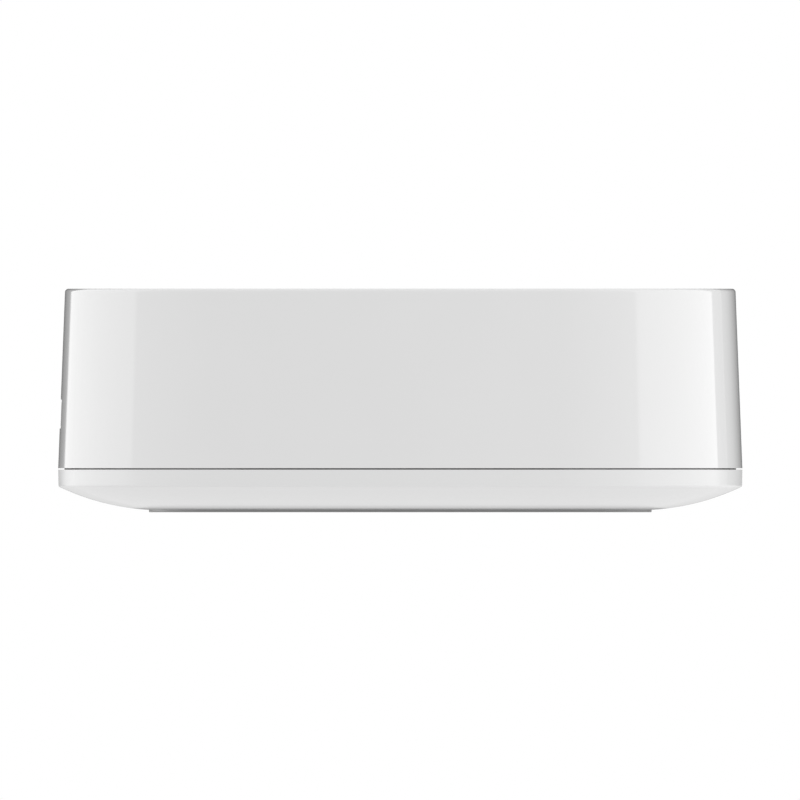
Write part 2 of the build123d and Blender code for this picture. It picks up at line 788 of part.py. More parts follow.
# ---------------------------------------------------------------- one STEP file for each piece
pieces = {
    "top_shell": top_shell,
    "base_shell": base_shell,
    "foot_ring": foot_ring,
    "rating_label": rating_label,
    "port_plate": port_plate,
    "case_screws": case_screws,
    "board_screws": board_screws,
    "main_board": main_board,
    "processor": processor,
    "thermal_pad": thermal_pad,
    "heat_sink": heat_sink,
    "heat_sink_pins": heat_sink_pins,
    "memory_chip": memory_chip,
    "flash_chip": flash_chip,
    "regulator_chips": regulator_chips,
    "ethernet_transformer": ethernet_transformer,
    "power_inductor": power_inductor,
    "storage_capacitors": storage_capacitors,
    "crystal_can": crystal_can,
    "ceramic_parts": ceramic_parts,
    "wifi_module": wifi_module,
    "wifi_shield_can": wifi_shield_can,
    "mesh_radio_module": mesh_radio_module,
    "mesh_radio_shield_can": mesh_radio_shield_can,
    "left_antenna": left_antenna,
    "right_antenna": right_antenna,
    "ethernet_jack_housing": ethernet_jack_housing,
    "ethernet_jack_shield": ethernet_jack_shield,
    "ethernet_jack_contacts": ethernet_jack_contacts,
    "ethernet_jack_lamps": ethernet_jack_lamps,
    "power_jack_body": power_jack_body,
    "power_jack_pin": power_jack_pin,
    "pairing_switch": pairing_switch,
    "pairing_switch_plunger": pairing_switch_plunger,
    "pairing_button_cap": pairing_button_cap,
    "reset_switch": reset_switch,
    "reset_switch_plunger": reset_switch_plunger,
    "status_lamp": status_lamp,
    "light_pipe": light_pipe,
}
for name, piece in pieces.items():
    piece.part.label = name
    export_step(piece.part, f"parts/{name}.step")
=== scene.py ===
# %% [markdown]
# # A smart home hub, from its frame to its finish
# The hub is a low box in two white shells that stands on a rubber ring. The CAD model gives the exact
# sizes, so the first cell only loads it. Every later piece takes its place from the loaded frame.

# %% Load the frame
import math

import bmesh
import bpy
from mathutils import Matrix, Vector


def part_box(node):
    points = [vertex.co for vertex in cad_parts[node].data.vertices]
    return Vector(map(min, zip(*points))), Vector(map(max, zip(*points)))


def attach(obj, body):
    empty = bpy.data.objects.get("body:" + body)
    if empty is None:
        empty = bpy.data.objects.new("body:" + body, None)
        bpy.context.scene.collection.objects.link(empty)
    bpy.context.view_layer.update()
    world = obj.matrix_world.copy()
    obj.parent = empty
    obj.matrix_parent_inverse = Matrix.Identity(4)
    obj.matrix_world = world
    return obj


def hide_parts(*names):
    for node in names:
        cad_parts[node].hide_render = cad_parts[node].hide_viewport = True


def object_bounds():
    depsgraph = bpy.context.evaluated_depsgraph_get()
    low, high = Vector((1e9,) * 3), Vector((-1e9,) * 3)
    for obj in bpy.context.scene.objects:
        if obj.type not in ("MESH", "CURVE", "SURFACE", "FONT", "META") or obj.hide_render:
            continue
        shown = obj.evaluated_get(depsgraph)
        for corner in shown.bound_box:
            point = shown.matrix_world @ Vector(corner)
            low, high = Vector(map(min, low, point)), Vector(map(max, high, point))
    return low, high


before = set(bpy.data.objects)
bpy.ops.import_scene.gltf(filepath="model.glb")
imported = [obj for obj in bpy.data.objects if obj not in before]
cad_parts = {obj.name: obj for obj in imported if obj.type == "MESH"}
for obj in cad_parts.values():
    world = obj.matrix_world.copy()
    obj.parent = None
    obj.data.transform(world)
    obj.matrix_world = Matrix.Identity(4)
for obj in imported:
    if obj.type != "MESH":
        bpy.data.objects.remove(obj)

MM = 0.001
cad_low, cad_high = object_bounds()
print("CAD box, mm:", [round(v / MM, 2) for v in (*cad_low, *cad_high)])

# %% [markdown]
# ## Small helpers
# Colours are easiest to write as the sRGB hex values a paint chart gives, but shaders count in linear
# light, so one function turns them. Another adds a node, sets it up and links it in one line, which
# keeps the node trees below readable: a node given as a value is linked by its first output.


# %% Helpers for colours and nodes
def linear(hex_colour):
    """Turns #rrggbb into the linear red, green, blue and alpha that shaders use."""
    channels = [int(hex_colour[i : i + 2], 16) / 255 for i in (1, 3, 5)]
    return (*[c / 12.92 if c <= 0.04045 else ((c + 0.055) / 1.055) ** 2.4 for c in channels], 1.0)


def add_node(tree, kind, inputs=None, **settings):
    """Adds a node. settings are its properties; inputs maps its sockets to values, sockets or nodes."""
    made = tree.nodes.new(kind)
    for name, value in settings.items():
        setattr(made, name, value)
    for key, value in (inputs or {}).items():
        if isinstance(value, bpy.types.Node):
            value = value.outputs[0]
        if isinstance(value, bpy.types.NodeSocket):
            tree.links.new(value, made.inputs[key])
        else:
            made.inputs[key].default_value = value
    return made


def empty_material(name):
    """A new material and its node tree, which is still empty."""
    made = bpy.data.materials.new(name)
    made.use_nodes = True
    made.node_tree.nodes.clear()
    return made, made.node_tree


# %% [markdown]
# ## Camera
# The hub is seen level, straight on to its front, from far away, so there is no perspective at all. An
# orthographic camera says exactly that. It looks just above mid-height and takes in a little more than
# the width.

# %% Camera
camera_data = bpy.data.cameras.new("camera")
camera_data.type = "ORTHO"
VIEW_WIDTH = 114.56 * MM
camera_data.ortho_scale = VIEW_WIDTH
camera = bpy.data.objects.new("camera", camera_data)
bpy.context.scene.collection.objects.link(camera)
EYE_ABOVE_MIDDLE = 0.07 * MM
EYE_ASIDE = -0.04 * MM
camera.location = (EYE_ASIDE, -0.6, (cad_low.z + cad_high.z) / 2 + EYE_ABOVE_MIDDLE)
camera.rotation_euler = (math.pi / 2, 0, 0)
camera_data.clip_end = 10
bpy.context.scene.camera = camera
bpy.context.scene.view_settings.view_transform = "Standard"
print("camera sees", round(VIEW_WIDTH / MM, 1), "mm across")

# %% [markdown]
# ## Studio
# White glossy plastic is shown by what it reflects. A light tent gives soft, even light; a strong strip
# on each side draws the bright bands where the corners turn away, and the dark gap behind the hub gives
# its outline an edge. All of that is a ring of light, so the world holds it as one ramp by compass
# direction, which is quieter to render than many lamps. The table under the hub is bright too and
# lights the bowl of the lower shell. The tent holds that glow as well, and the floor sheet only has to
# show the hub's soft shadow.


# %% Floor and backdrop
def stage_mesh(name, radius, flat):
    """A floor disc, or a ball round everything that serves as a backdrop."""
    bm = bmesh.new()
    if flat:
        bmesh.ops.create_circle(bm, cap_ends=True, segments=96, radius=radius)
    else:
        bmesh.ops.create_uvsphere(bm, u_segments=48, v_segments=24, radius=radius)
    mesh = bpy.data.meshes.new(name)
    bm.to_mesh(mesh)
    bm.free()
    made = bpy.data.objects.new(name, mesh)
    bpy.context.scene.collection.objects.link(made)
    # Only the camera sees it: it lights nothing, shades nothing and isn't reflected.
    for kind in ("diffuse", "glossy", "transmission", "volume_scatter", "shadow"):
        setattr(made, f"visible_{kind}", False)
    return made


def sheet_of(name, shader, colour):
    """A material of one shader and one colour, for the studio's own surfaces."""
    made, tree = empty_material(name)
    surface = add_node(tree, shader, {"Color": linear(colour)})
    add_node(tree, "ShaderNodeOutputMaterial", {"Surface": surface})
    return made


FLOOR_RADIUS = 1.2
BACKDROP_RADIUS = 2.5
floor = stage_mesh("floor", FLOOR_RADIUS, True)
floor.data.materials.append(sheet_of("paper_floor", "ShaderNodeBsdfDiffuse", "#f9f9f9"))
backdrop = stage_mesh("backdrop", BACKDROP_RADIUS, False)
backdrop.data.materials.append(sheet_of("white_backdrop", "ShaderNodeEmission", "#ffffff"))
print("floor and backdrop stand", FLOOR_RADIUS, "and", BACKDROP_RADIUS, "m out")

# %% Light tent
# Brightness by compass direction: 0 is straight behind the hub, and the angle grows through its right
# side, its front at 180 and its left side.
TENT = [
    (0, 0.05), (9, 0.17), (22, 0.56), (31, 0.46), (41.6, 0.43), (42.2, 1.52), (80, 1.77),
    (108, 1.98), (112.2, 1.96), (113, 0.78), (150, 0.75), (180, 0.77), (200, 0.83),
    (267.6, 0.84), (269, 1.76), (296, 1.56), (311, 1.41), (324, 1.22), (340, 1.06),
    (346.4, 1.12), (347.4, 0.16), (360, 0.05),
]
FROM_ABOVE = 1.0
FROM_BELOW = 0.855
RIGHT_GLOW = 0.2
RIGHT_RISE = 0.08
ABOVE_FADE = (0.45, 0.8)
BELOW_FADE = (-0.03, -0.12)

world = bpy.data.worlds.new("light_tent")
world.use_nodes = True
bpy.context.scene.world = world
sky = world.node_tree
sky.nodes.clear()
direction = add_node(sky, "ShaderNodeTexCoord").outputs["Generated"]
split = add_node(sky, "ShaderNodeSeparateXYZ", {0: direction}).outputs
compass = add_node(sky, "ShaderNodeMath", {0: split["X"], 1: split["Y"]}, operation="ARCTAN2")
turn = add_node(sky, "ShaderNodeMath", {0: compass, 1: 2 * math.pi, 2: 0.0}, operation="WRAP")
share = add_node(sky, "ShaderNodeMath", {0: turn, 1: 2 * math.pi}, operation="DIVIDE")
ring = add_node(sky, "ShaderNodeValToRGB", {"Fac": share})
brightest = max(level for _, level in TENT)
ramp = ring.color_ramp
for angle, level in TENT:
    # The ramp starts with a stop at each end, and the ones between are new.
    ends = {0: ramp.elements[0], 360: ramp.elements[-1]}
    stop = ends[angle] if angle in ends else ramp.elements.new(angle / 360)
    stop.color = (*(level / brightest,) * 3, 1)
lit = add_node(sky, "ShaderNodeVectorMath", {0: ring, "Scale": brightest}, operation="SCALE")
# The ring gives way to an even glow some way above the horizon, and to the table's own just below
# it. On the right the table is brighter and reaches a little higher. A Mix node keeps its number,
# vector and colour sockets in one list: 4 and 5 are the vectors, and its output 1 is the vector.
right = add_node(sky, "ShaderNodeMapRange", {"Value": split["X"]})
above_table = add_node(
    sky, "ShaderNodeMath", {0: right, 1: -RIGHT_RISE, 2: split["Z"]}, operation="MULTIPLY_ADD"
)
table_glow = add_node(
    sky, "ShaderNodeMath", {0: right, 1: RIGHT_GLOW, 2: FROM_BELOW}, operation="MULTIPLY_ADD"
)
for glow, height, (near, far) in (
    ((FROM_ABOVE, FROM_ABOVE, FROM_ABOVE), split["Z"], ABOVE_FADE), (table_glow, above_table, BELOW_FADE)
):
    share = add_node(sky, "ShaderNodeMapRange", {"Value": height, "From Min": near, "From Max": far})
    mixed = add_node(sky, "ShaderNodeMix", {0: share, 4: lit, 5: glow}, data_type="VECTOR")
    lit = mixed.outputs[1]
background = add_node(sky, "ShaderNodeBackground", {"Color": lit})
add_node(sky, "ShaderNodeOutputWorld", {"Surface": background})
print("tent ramp with", len(ramp.elements), "stops")

# %% [markdown]
# ## A sweep round the soft square
# The hub's outline is four bowed sides that run into four large corners: eight arcs that meet without a
# kink. Both shells and the foot ring are one section carried round that outline, so a single Geometry
# Nodes tree makes them all. It draws two arcs, turns them into place four times, welds them into one
# path and sweeps the section along it. A lathe or a stack of scaled loops would not keep the wall an
# even thickness; a sweep does. The outline's sizes are named inputs.

# %% Outline sizes
HALF = cad_high.x
CORNER_RADIUS = 29.4 * MM
SIDE_RADIUS = 132.7 * MM
SPINE = 26.0 * MM
WALL_LEAN = math.tan(math.radians(2.2))

bow_offset = SIDE_RADIUS - HALF
arc_offset = SIDE_RADIUS - CORNER_RADIUS
CORNER_CENTRE = (math.sqrt(2 * arc_offset**2 - bow_offset**2) - bow_offset) / 2
SIDE_ANGLE = math.asin(CORNER_CENTRE / arc_offset)
print("corner centre", round(CORNER_CENTRE / MM, 2), "side angle", round(math.degrees(SIDE_ANGLE), 2))


# %% The sweep tree
def new_tree(name, sizes):
    """A Geometry Nodes tree with a geometry input, named size inputs and a material input."""
    tree = bpy.data.node_groups.new(name, "GeometryNodeTree")
    tree.interface.new_socket(name="Geometry", in_out="INPUT", socket_type="NodeSocketGeometry")
    for size in sizes:
        kind = "NodeSocketInt" if size.startswith("Count") else "NodeSocketFloat"
        tree.interface.new_socket(name=size, in_out="INPUT", socket_type=kind)
    tree.interface.new_socket(name="Material", in_out="INPUT", socket_type="NodeSocketMaterial")
    tree.interface.new_socket(name="Geometry", in_out="OUTPUT", socket_type="NodeSocketGeometry")
    return tree, tree.nodes.new("NodeGroupInput").outputs


def end_tree(tree, geometry, material):
    """Every tree ends the same way: real geometry, with its material on it."""
    real = add_node(tree, "GeometryNodeRealizeInstances", {"Geometry": geometry})
    painted = add_node(tree, "GeometryNodeSetMaterial", {"Geometry": real, "Material": material})
    add_node(tree, "NodeGroupOutput", {0: painted})


SIDE_STEPS = 20
CORNER_STEPS = 70
sweep_tree, given = new_tree(
    "sweep_round_soft_square",
    ["Side centre", "Side radius", "Side angle", "Corner centre", "Corner radius"],
)


def tree_math(tree, operation, a, b):
    """One sum in a node tree."""
    return add_node(tree, "ShaderNodeMath", {0: a, 1: b}, operation=operation)


double_angle = tree_math(sweep_tree, "MULTIPLY", given["Side angle"], 2.0)
side_arc = add_node(
    sweep_tree,
    "GeometryNodeCurveArc",
    {
        "Resolution": SIDE_STEPS + 1,
        "Radius": given["Side radius"],
        "Start Angle": tree_math(sweep_tree, "MULTIPLY", given["Side angle"], -1.0),
        "Sweep Angle": double_angle,
    },
    mode="RADIUS",
)
corner_arc = add_node(
    sweep_tree,
    "GeometryNodeCurveArc",
    {
        "Resolution": CORNER_STEPS + 1,
        "Radius": given["Corner radius"],
        "Start Angle": given["Side angle"],
        "Sweep Angle": tree_math(sweep_tree, "SUBTRACT", math.pi / 2, double_angle),
    },
    mode="RADIUS",
)
side_place = add_node(sweep_tree, "ShaderNodeCombineXYZ", {"X": given["Side centre"]})
corner_place = add_node(
    sweep_tree, "ShaderNodeCombineXYZ", {"X": given["Corner centre"], "Y": given["Corner centre"]}
)
quarter = sweep_tree.nodes.new("GeometryNodeJoinGeometry")
for arc, place in ((side_arc, side_place), (corner_arc, corner_place)):
    moved = add_node(sweep_tree, "GeometryNodeTransform", {"Geometry": arc, "Translation": place})
    sweep_tree.links.new(moved.outputs[0], quarter.inputs[0])
quarter_edges = add_node(sweep_tree, "GeometryNodeCurveToMesh", {"Curve": quarter})
four = add_node(sweep_tree, "GeometryNodePoints", {"Count": 4})
which = sweep_tree.nodes.new("GeometryNodeInputIndex")
quarter_turn = tree_math(sweep_tree, "MULTIPLY", which, math.pi / 2)
quarter_turns = add_node(sweep_tree, "ShaderNodeCombineXYZ", {"Z": quarter_turn})
placed = add_node(
    sweep_tree,
    "GeometryNodeInstanceOnPoints",
    {"Points": four, "Instance": quarter_edges, "Rotation": quarter_turns},
)
whole = add_node(sweep_tree, "GeometryNodeRealizeInstances", {"Geometry": placed})
welded = add_node(sweep_tree, "GeometryNodeMergeByDistance", {"Geometry": whole, "Distance": 1e-6})
path = add_node(sweep_tree, "GeometryNodeMeshToCurve", {"Mesh": welded})
upright = add_node(sweep_tree, "GeometryNodeSetCurveNormal", {"Curve": path}, mode="Z_UP")
section_curve = add_node(sweep_tree, "GeometryNodeMeshToCurve", {"Mesh": given["Geometry"]})
# A sweep hangs its section's second axis downwards, so the section is turned over first.
section_flip = add_node(
    sweep_tree, "GeometryNodeTransform", {"Geometry": section_curve, "Scale": (1.0, -1.0, 1.0)}
)
swept = add_node(sweep_tree, "GeometryNodeCurveToMesh", {"Curve": upright, "Profile Curve": section_flip})
end_tree(sweep_tree, swept, given["Material"])
print("sweep tree has", len(sweep_tree.nodes), "nodes")

# %% [markdown]
# ## From a section to a finished mesh
# A moulded part has no sharp corners: each has at least a tenth of a millimetre of radius, and that
# thin line of light is what makes it look real. So a section is listed as corners with radii, and a
# function rounds them. Two extra points hug each arc, which keeps smooth shading off the flats.

# %% Sections with rounded corners
ARC_STEPS = 7
HUG = 0.06 * MM


def rounded(corners, closed=True):
    """Points of an outline whose corners, (x, y, radius), are rounded."""
    points = []
    count = len(corners)
    for i, (x, y, radius) in enumerate(corners):
        here = Vector((x, y))
        if radius == 0 or (not closed and i in (0, count - 1)):
            points.append(here)
            continue
        back = (Vector(corners[i - 1][:2]) - here).normalized()
        ahead = (Vector(corners[(i + 1) % count][:2]) - here).normalized()
        half = back.angle(ahead) / 2
        reach = radius / math.tan(half)
        middle = here + (back + ahead).normalized() * (radius / math.sin(half))
        start, end = here + back * reach, here + ahead * reach
        points.append(start + back * HUG)
        for step in range(ARC_STEPS + 1):
            share = step / ARC_STEPS
            first, last = start - middle, end - middle
            turn = first.angle_signed(last) * share
            points.append(middle + Matrix.Rotation(-turn, 2) @ first)
        points.append(end + ahead * HUG)
    return [(p.x, p.y) for p in points]


# %% [markdown]
# Every piece goes through the same few steps. Its modifiers are applied, so that what is left is a plain
# mesh; its doubles are welded, its holes closed and its faces turned outwards; and its normals are
# weighted by area, so that large faces look flat and only the narrow ones of a rounding turn.


# %% Plain, closed meshes
def plain_mesh(name, vertices, edges=(), faces=()):
    """A new object in the scene from lists."""
    mesh = bpy.data.meshes.new(name)
    mesh.from_pydata(vertices, edges, faces)
    made = bpy.data.objects.new(name, mesh)
    bpy.context.scene.collection.objects.link(made)
    return made


def settle(piece):
    """Applies a piece's modifiers, so that what is left is a plain mesh."""
    bpy.context.view_layer.update()
    evaluated = piece.evaluated_get(bpy.context.evaluated_depsgraph_get())
    mesh = bpy.data.meshes.new_from_object(evaluated)
    piece.modifiers.clear()
    piece.data = mesh
    mesh.name = piece.name
    return piece


def grow(piece, tree, **sizes):
    """Runs a node tree on a piece and keeps the plain result."""
    modifier = piece.modifiers.new(tree.name, "NODES")
    modifier.node_group = tree
    sockets = {s.name: s.identifier for s in tree.interface.items_tree if s.in_out == "INPUT"}
    for name, value in sizes.items():
        modifier[sockets[name.replace("_", " ")]] = value
    return settle(piece)


def tidy(piece, sharp_above=35):
    """Welds, closes flat holes, turns faces outwards and shades smooth up to an angle in degrees."""
    bm = bmesh.new()
    bm.from_mesh(piece.data)
    bmesh.ops.remove_doubles(bm, verts=bm.verts, dist=1e-7)
    open_edges = [e for e in bm.edges if e.is_boundary]
    if open_edges:
        bmesh.ops.holes_fill(bm, edges=open_edges, sides=0)
    bmesh.ops.recalc_face_normals(bm, faces=bm.faces)
    for face in bm.faces:
        face.smooth = True
    loose = sum(1 for e in bm.edges if not e.is_manifold)
    bm.to_mesh(piece.data)
    bm.free()
    piece.data.set_sharp_from_angle(angle=math.radians(sharp_above))
    even = piece.modifiers.new("even_shading", "WEIGHTED_NORMAL")
    even.keep_sharp = True
    settle(piece)
    print(piece.name, "faces", len(piece.data.polygons), "open edges", loose)
    return piece


def sweep(name, points, closed=False):
    """Carries a section, in metres out from the spine and up, round the soft square."""
    edges = [(i, i + 1) for i in range(len(points) - 1)]
    if closed:
        edges.append((len(points) - 1, 0))
    piece = plain_mesh(name, [(x, y, 0) for x, y in points], edges)
    inset = HALF - SPINE
    grow(
        piece,
        sweep_tree,
        Side_centre=-bow_offset,
        Side_radius=SIDE_RADIUS - inset,
        Side_angle=SIDE_ANGLE,
        Corner_centre=CORNER_CENTRE,
        Corner_radius=CORNER_RADIUS - inset,
    )
    return tidy(piece)


# %% [markdown]
# Most other solids have straight sides: an outline drawn in the plane across an axis, and two levels
# along that axis. Booleans add and cut them, and a bevel on picked edges breaks the ones that a finger
# can feel. Last, a piece gets its material, its body and the CAD nodes that it stands for.

# %% Solids, cuts and finishing touches
AXES = {"X": (1, 2, 0), "Y": (0, 2, 1), "Z": (0, 1, 2)}


def prism(name, outline, low, high, axis):
    """A straight-sided solid: an outline in the plane across axis, from low to high along it."""
    first, second, along = AXES[axis]
    vertices = []
    for level in (low, high):
        for a, b in outline:
            point = [0.0, 0.0, 0.0]
            point[first], point[second], point[along] = a, b, level
            vertices.append(point)
    count = len(outline)
    faces = [list(range(count)), list(range(count, 2 * count))]
    faces += [(i, (i + 1) % count, count + (i + 1) % count, count + i) for i in range(count)]
    return tidy(plain_mesh(name, vertices, faces=faces))


def rectangle(x, y, width, height, radius=0.0):
    """Corners of an upright rectangle, centred on x, y, with its corners rounded."""
    corners = [(-1, -1), (1, -1), (1, 1), (-1, 1)]
    return rounded([(x + sx * width / 2, y + sy * height / 2, radius) for sx, sy in corners])


def slab(name, low, high, axis, radius=0.0):
    """A box between two corners, rounded along one axis."""
    first, second, along = AXES[axis]
    middle, size = (low + high) / 2, high - low
    outline = rectangle(middle[first], middle[second], size[first], size[second], radius)
    return prism(name, outline, low[along], high[along], axis)


def circle(x, y, radius, steps=48):
    """Points of a circle."""
    turns = [2 * math.pi * i / steps for i in range(steps)]
    return [(x + radius * math.cos(t), y + radius * math.sin(t)) for t in turns]


def combine(piece, tool, operation):
    """Adds a tool's solid to a piece (UNION) or takes it away (DIFFERENCE), and drops the tool."""
    modifier = piece.modifiers.new(operation, "BOOLEAN")
    modifier.operation = operation
    modifier.solver = "EXACT"
    modifier.object = tool
    settle(piece)
    bpy.data.objects.remove(tool)
    return piece


def joined(name, tools):
    """Several separate solids as one object."""
    bm = bmesh.new()
    for tool in tools:
        bm.from_mesh(tool.data)
        bpy.data.objects.remove(tool)
    made = plain_mesh(name, [])
    bm.to_mesh(made.data)
    bm.free()
    return made


def soften(piece, chosen, width, segments=3, least_angle=50):
    """Rounds the edges, sharper than least_angle, whose two ends chosen(point) accepts."""
    bm = bmesh.new()
    bm.from_mesh(piece.data)
    weights = bm.edges.layers.float.new("bevel_weight_edge")
    picked = 0
    for edge in bm.edges:
        if not edge.is_manifold or edge.calc_face_angle() < math.radians(least_angle):
            continue
        if all(chosen(v.co) for v in edge.verts):
            edge[weights] = 1.0
            picked += 1
    bm.to_mesh(piece.data)
    bm.free()
    bevel = piece.modifiers.new("soften", "BEVEL")
    bevel.limit_method = "WEIGHT"
    bevel.width = width
    bevel.segments = segments
    settle(piece)
    print(piece.name, "softened", picked, "edges")
    return piece


def show(piece, material, stands_for=(), body="housing"):
    """Finishes a piece: one material, the body that it rides on and the CAD nodes that it stands for."""
    piece.data.materials.clear()
    piece.data.materials.append(material)
    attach(piece, body)
    if stands_for:
        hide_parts(*stands_for)
    return piece


# %% [markdown]
# ## Copies on a grid
# Screws, bosses, contacts, fins and small parts all stand in rows. One tree takes whatever geometry it
# is given and stands copies of it on a centred grid, so a screw is modelled once and its pitch is a
# named input. Realizing the instances at the end turns them into plain geometry.

# %% The grid tree
grid_tree, given = new_tree("copies_on_a_grid", ["Count X", "Count Y", "Pitch X", "Pitch Y"])


def centred_row(axis):
    """A line of points along one axis, centred on the origin."""
    count, pitch = given[f"Count {axis}"], given[f"Pitch {axis}"]
    gaps = tree_math(grid_tree, "SUBTRACT", count, 1.0)
    start = tree_math(grid_tree, "MULTIPLY", tree_math(grid_tree, "MULTIPLY", gaps, pitch), -0.5)
    first = add_node(grid_tree, "ShaderNodeCombineXYZ", {axis: start})
    step = add_node(grid_tree, "ShaderNodeCombineXYZ", {axis: pitch})
    return add_node(
        grid_tree,
        "GeometryNodeMeshLine",
        {"Count": count, "Start Location": first, "Offset": step},
        mode="OFFSET",
    )


crossed = add_node(
    grid_tree, "GeometryNodeInstanceOnPoints", {"Points": centred_row("X"), "Instance": centred_row("Y")}
)
spots = add_node(grid_tree, "GeometryNodeRealizeInstances", {"Geometry": crossed})
copies = add_node(
    grid_tree, "GeometryNodeInstanceOnPoints", {"Points": spots, "Instance": given["Geometry"]}
)
end_tree(grid_tree, copies, given["Material"])


def on_grid(piece, count_x, count_y, pitch_x, pitch_y):
    """Stands copies of a piece on a grid centred on the piece's own place."""
    return grow(piece, grid_tree, Count_X=count_x, Count_Y=count_y, Pitch_X=pitch_x, Pitch_Y=pitch_y)


print("grid tree has", len(grid_tree.nodes), "nodes")

# %% [markdown]
# ## Finishes
# Every finish here is a real material with a real surface. What the eye reads is a base colour, how
# sharp the reflections are, and a pattern that is far finer than the part: spark-eroded grain on satin
# plastic, drawing lines on metal, a weave under a circuit board's lacquer. A noise in object
# coordinates, sized in millimetres, gives all three at once: it mixes two close colours, moves the
# roughness a little and lifts the surface by a few microns. Even values go straight on the shader.


# %% A helper for a finish with a fine grain
def grained(name, colours, roughness, grain, relief, stretch=(1, 1, 1), **even):
    """A finish whose grain, in mm, mixes two colours, two roughnesses and a relief in mm."""
    made, tree = empty_material(name)
    place = add_node(tree, "ShaderNodeTexCoord").outputs["Object"]
    turned = add_node(tree, "ShaderNodeMapping", {"Vector": place, "Scale": stretch})
    sizes = {"Vector": turned, "Scale": 1 / (grain * MM), "Detail": 3.0}
    noise = add_node(tree, "ShaderNodeTexNoise", sizes)
    # A Mix node's sockets 6 and 7 are its colours, and its output 2 is the mixed colour.
    pair = {0: noise, 6: linear(colours[0]), 7: linear(colours[1])}
    shade = add_node(tree, "ShaderNodeMix", pair, data_type="RGBA").outputs[2]
    spread = {"Value": noise, "To Min": roughness[0], "To Max": roughness[1]}
    polish = add_node(tree, "ShaderNodeMapRange", spread)
    bump = add_node(tree, "ShaderNodeBump", {"Height": noise, "Distance": relief * MM})
    skin = {key.replace("_", " "): value for key, value in even.items()}
    skin.update({"Base Color": shade, "Roughness": polish, "Normal": bump})
    surface = add_node(tree, "ShaderNodeBsdfPrincipled", skin)
    add_node(tree, "ShaderNodeOutputMaterial", {"Surface": surface})
    return made


# %% [markdown]
# The upper shell is ABS moulded in a polished tool: neutral white, almost a mirror at its surface, with
# only the faintest swell where the plastic shrank. The lower shell is the same plastic from a tool with
# a satin, lightly eroded face. ABS has an IOR of 1.5 to 1.54.

# %% Plastics of the case
gloss_white_abs = grained("gloss_white_abs", ("#e6e6e6", "#e8e8e8"), (0.04, 0.05), 9.0, 0.00005, IOR=1.5)
satin_white_abs = grained("satin_white_abs", ("#e4e4e4", "#e8e8e8"), (0.2, 0.26), 0.25, 0.0006, IOR=1.5)
grey_matte_abs = grained("grey_matte_abs", ("#929295", "#9a9a9d"), (0.45, 0.6), 0.18, 0.006, IOR=1.53)
# Connector bodies are PBT filled with glass, which leaves a dull, slightly speckled skin.
black_pbt = grained("black_pbt", ("#161616", "#232323"), (0.35, 0.55), 0.15, 0.006, IOR=1.55)
# The foot is a die-cut silicone rubber ring: pale grey, with a faint bloom that dulls it.
foot_silicone = grained("foot_silicone", ("#b6b6b6", "#bebebe"), (0.25, 0.35), 0.4, 0.002, IOR=1.5)
# The label is a blank polyester film with a satin lacquer.
label_film = grained("label_film", ("#dcdcdd", "#e3e3e3"), (0.25, 0.35), 0.3, 0.0006, IOR=1.6)

# %% [markdown]
# Inside there is a board with its parts. Epoxy chip bodies are near black and finely rough; tin and zinc
# plating are soft metals with drawing lines; contacts wear a gold flash; ceramic chips are a fired tan.
# Metals keep the default IOR.

# %% Finishes of the parts inside
chip_epoxy = grained("chip_epoxy", ("#1b1b1c", "#29292a"), (0.45, 0.6), 0.08, 0.005, IOR=1.55)
blue_gap_pad = grained("blue_gap_pad", ("#8fb0c4", "#9fc0d2"), (0.6, 0.75), 0.3, 0.01, IOR=1.41)
anodised_aluminium = grained(
    "anodised_aluminium", ("#4a4a4d", "#5a5a5d"), (0.35, 0.5), 0.4, 0.004, (6, 0.4, 6), Metallic=1.0
)
drawn_aluminium = grained(
    "drawn_aluminium", ("#d8dadc", "#e6e7e9"), (0.22, 0.34), 0.5, 0.002, (1, 1, 0.15), Metallic=1.0
)
fired_ceramic = grained("fired_ceramic", ("#a88b68", "#c0a280"), (0.4, 0.6), 0.12, 0.004, IOR=1.7)
tinned_steel = grained(
    "tinned_steel", ("#cfcfcd", "#e0e0de"), (0.2, 0.36), 0.6, 0.002, (0.2, 0.2, 3), Metallic=1.0
)
zinc_plated_steel = grained(
    "zinc_plated_steel", ("#a9abb0", "#c4c6ca"), (0.25, 0.42), 0.35, 0.003, Metallic=1.0
)
gold_flash = grained("gold_flash", ("#e2bd62", "#f0cf7c"), (0.16, 0.26), 0.2, 0.001, Metallic=1.0)
# Clear parts: the jack's lamps are clear epoxy, and the status light is polished acrylic.
clear_epoxy = grained(
    "clear_epoxy", ("#dfe8df", "#eef4ee"), (0.06, 0.1), 1.0, 0.0005, IOR=1.53, Transmission_Weight=0.85
)
polished_acrylic = grained(
    "polished_acrylic",
    ("#f2f6f8", "#f8fafb"),
    (0.02, 0.04),
    2.0,
    0.0002,
    IOR=1.49,
    Transmission_Weight=0.9,
)


# %% [markdown]
# A circuit board is woven glass and epoxy under a coat of coloured solder mask, with copper tracks that
# show as lighter, slightly raised lines. A grid of bricks with thin joints stands in for the tracks,
# 0.4 mm apart, and a slanting wave of half a millimetre for the weave.


# %% Circuit boards
TRACK_PITCH = 0.4
TRACK_LONG = 6.0
WEAVE_PITCH = 0.5 * MM


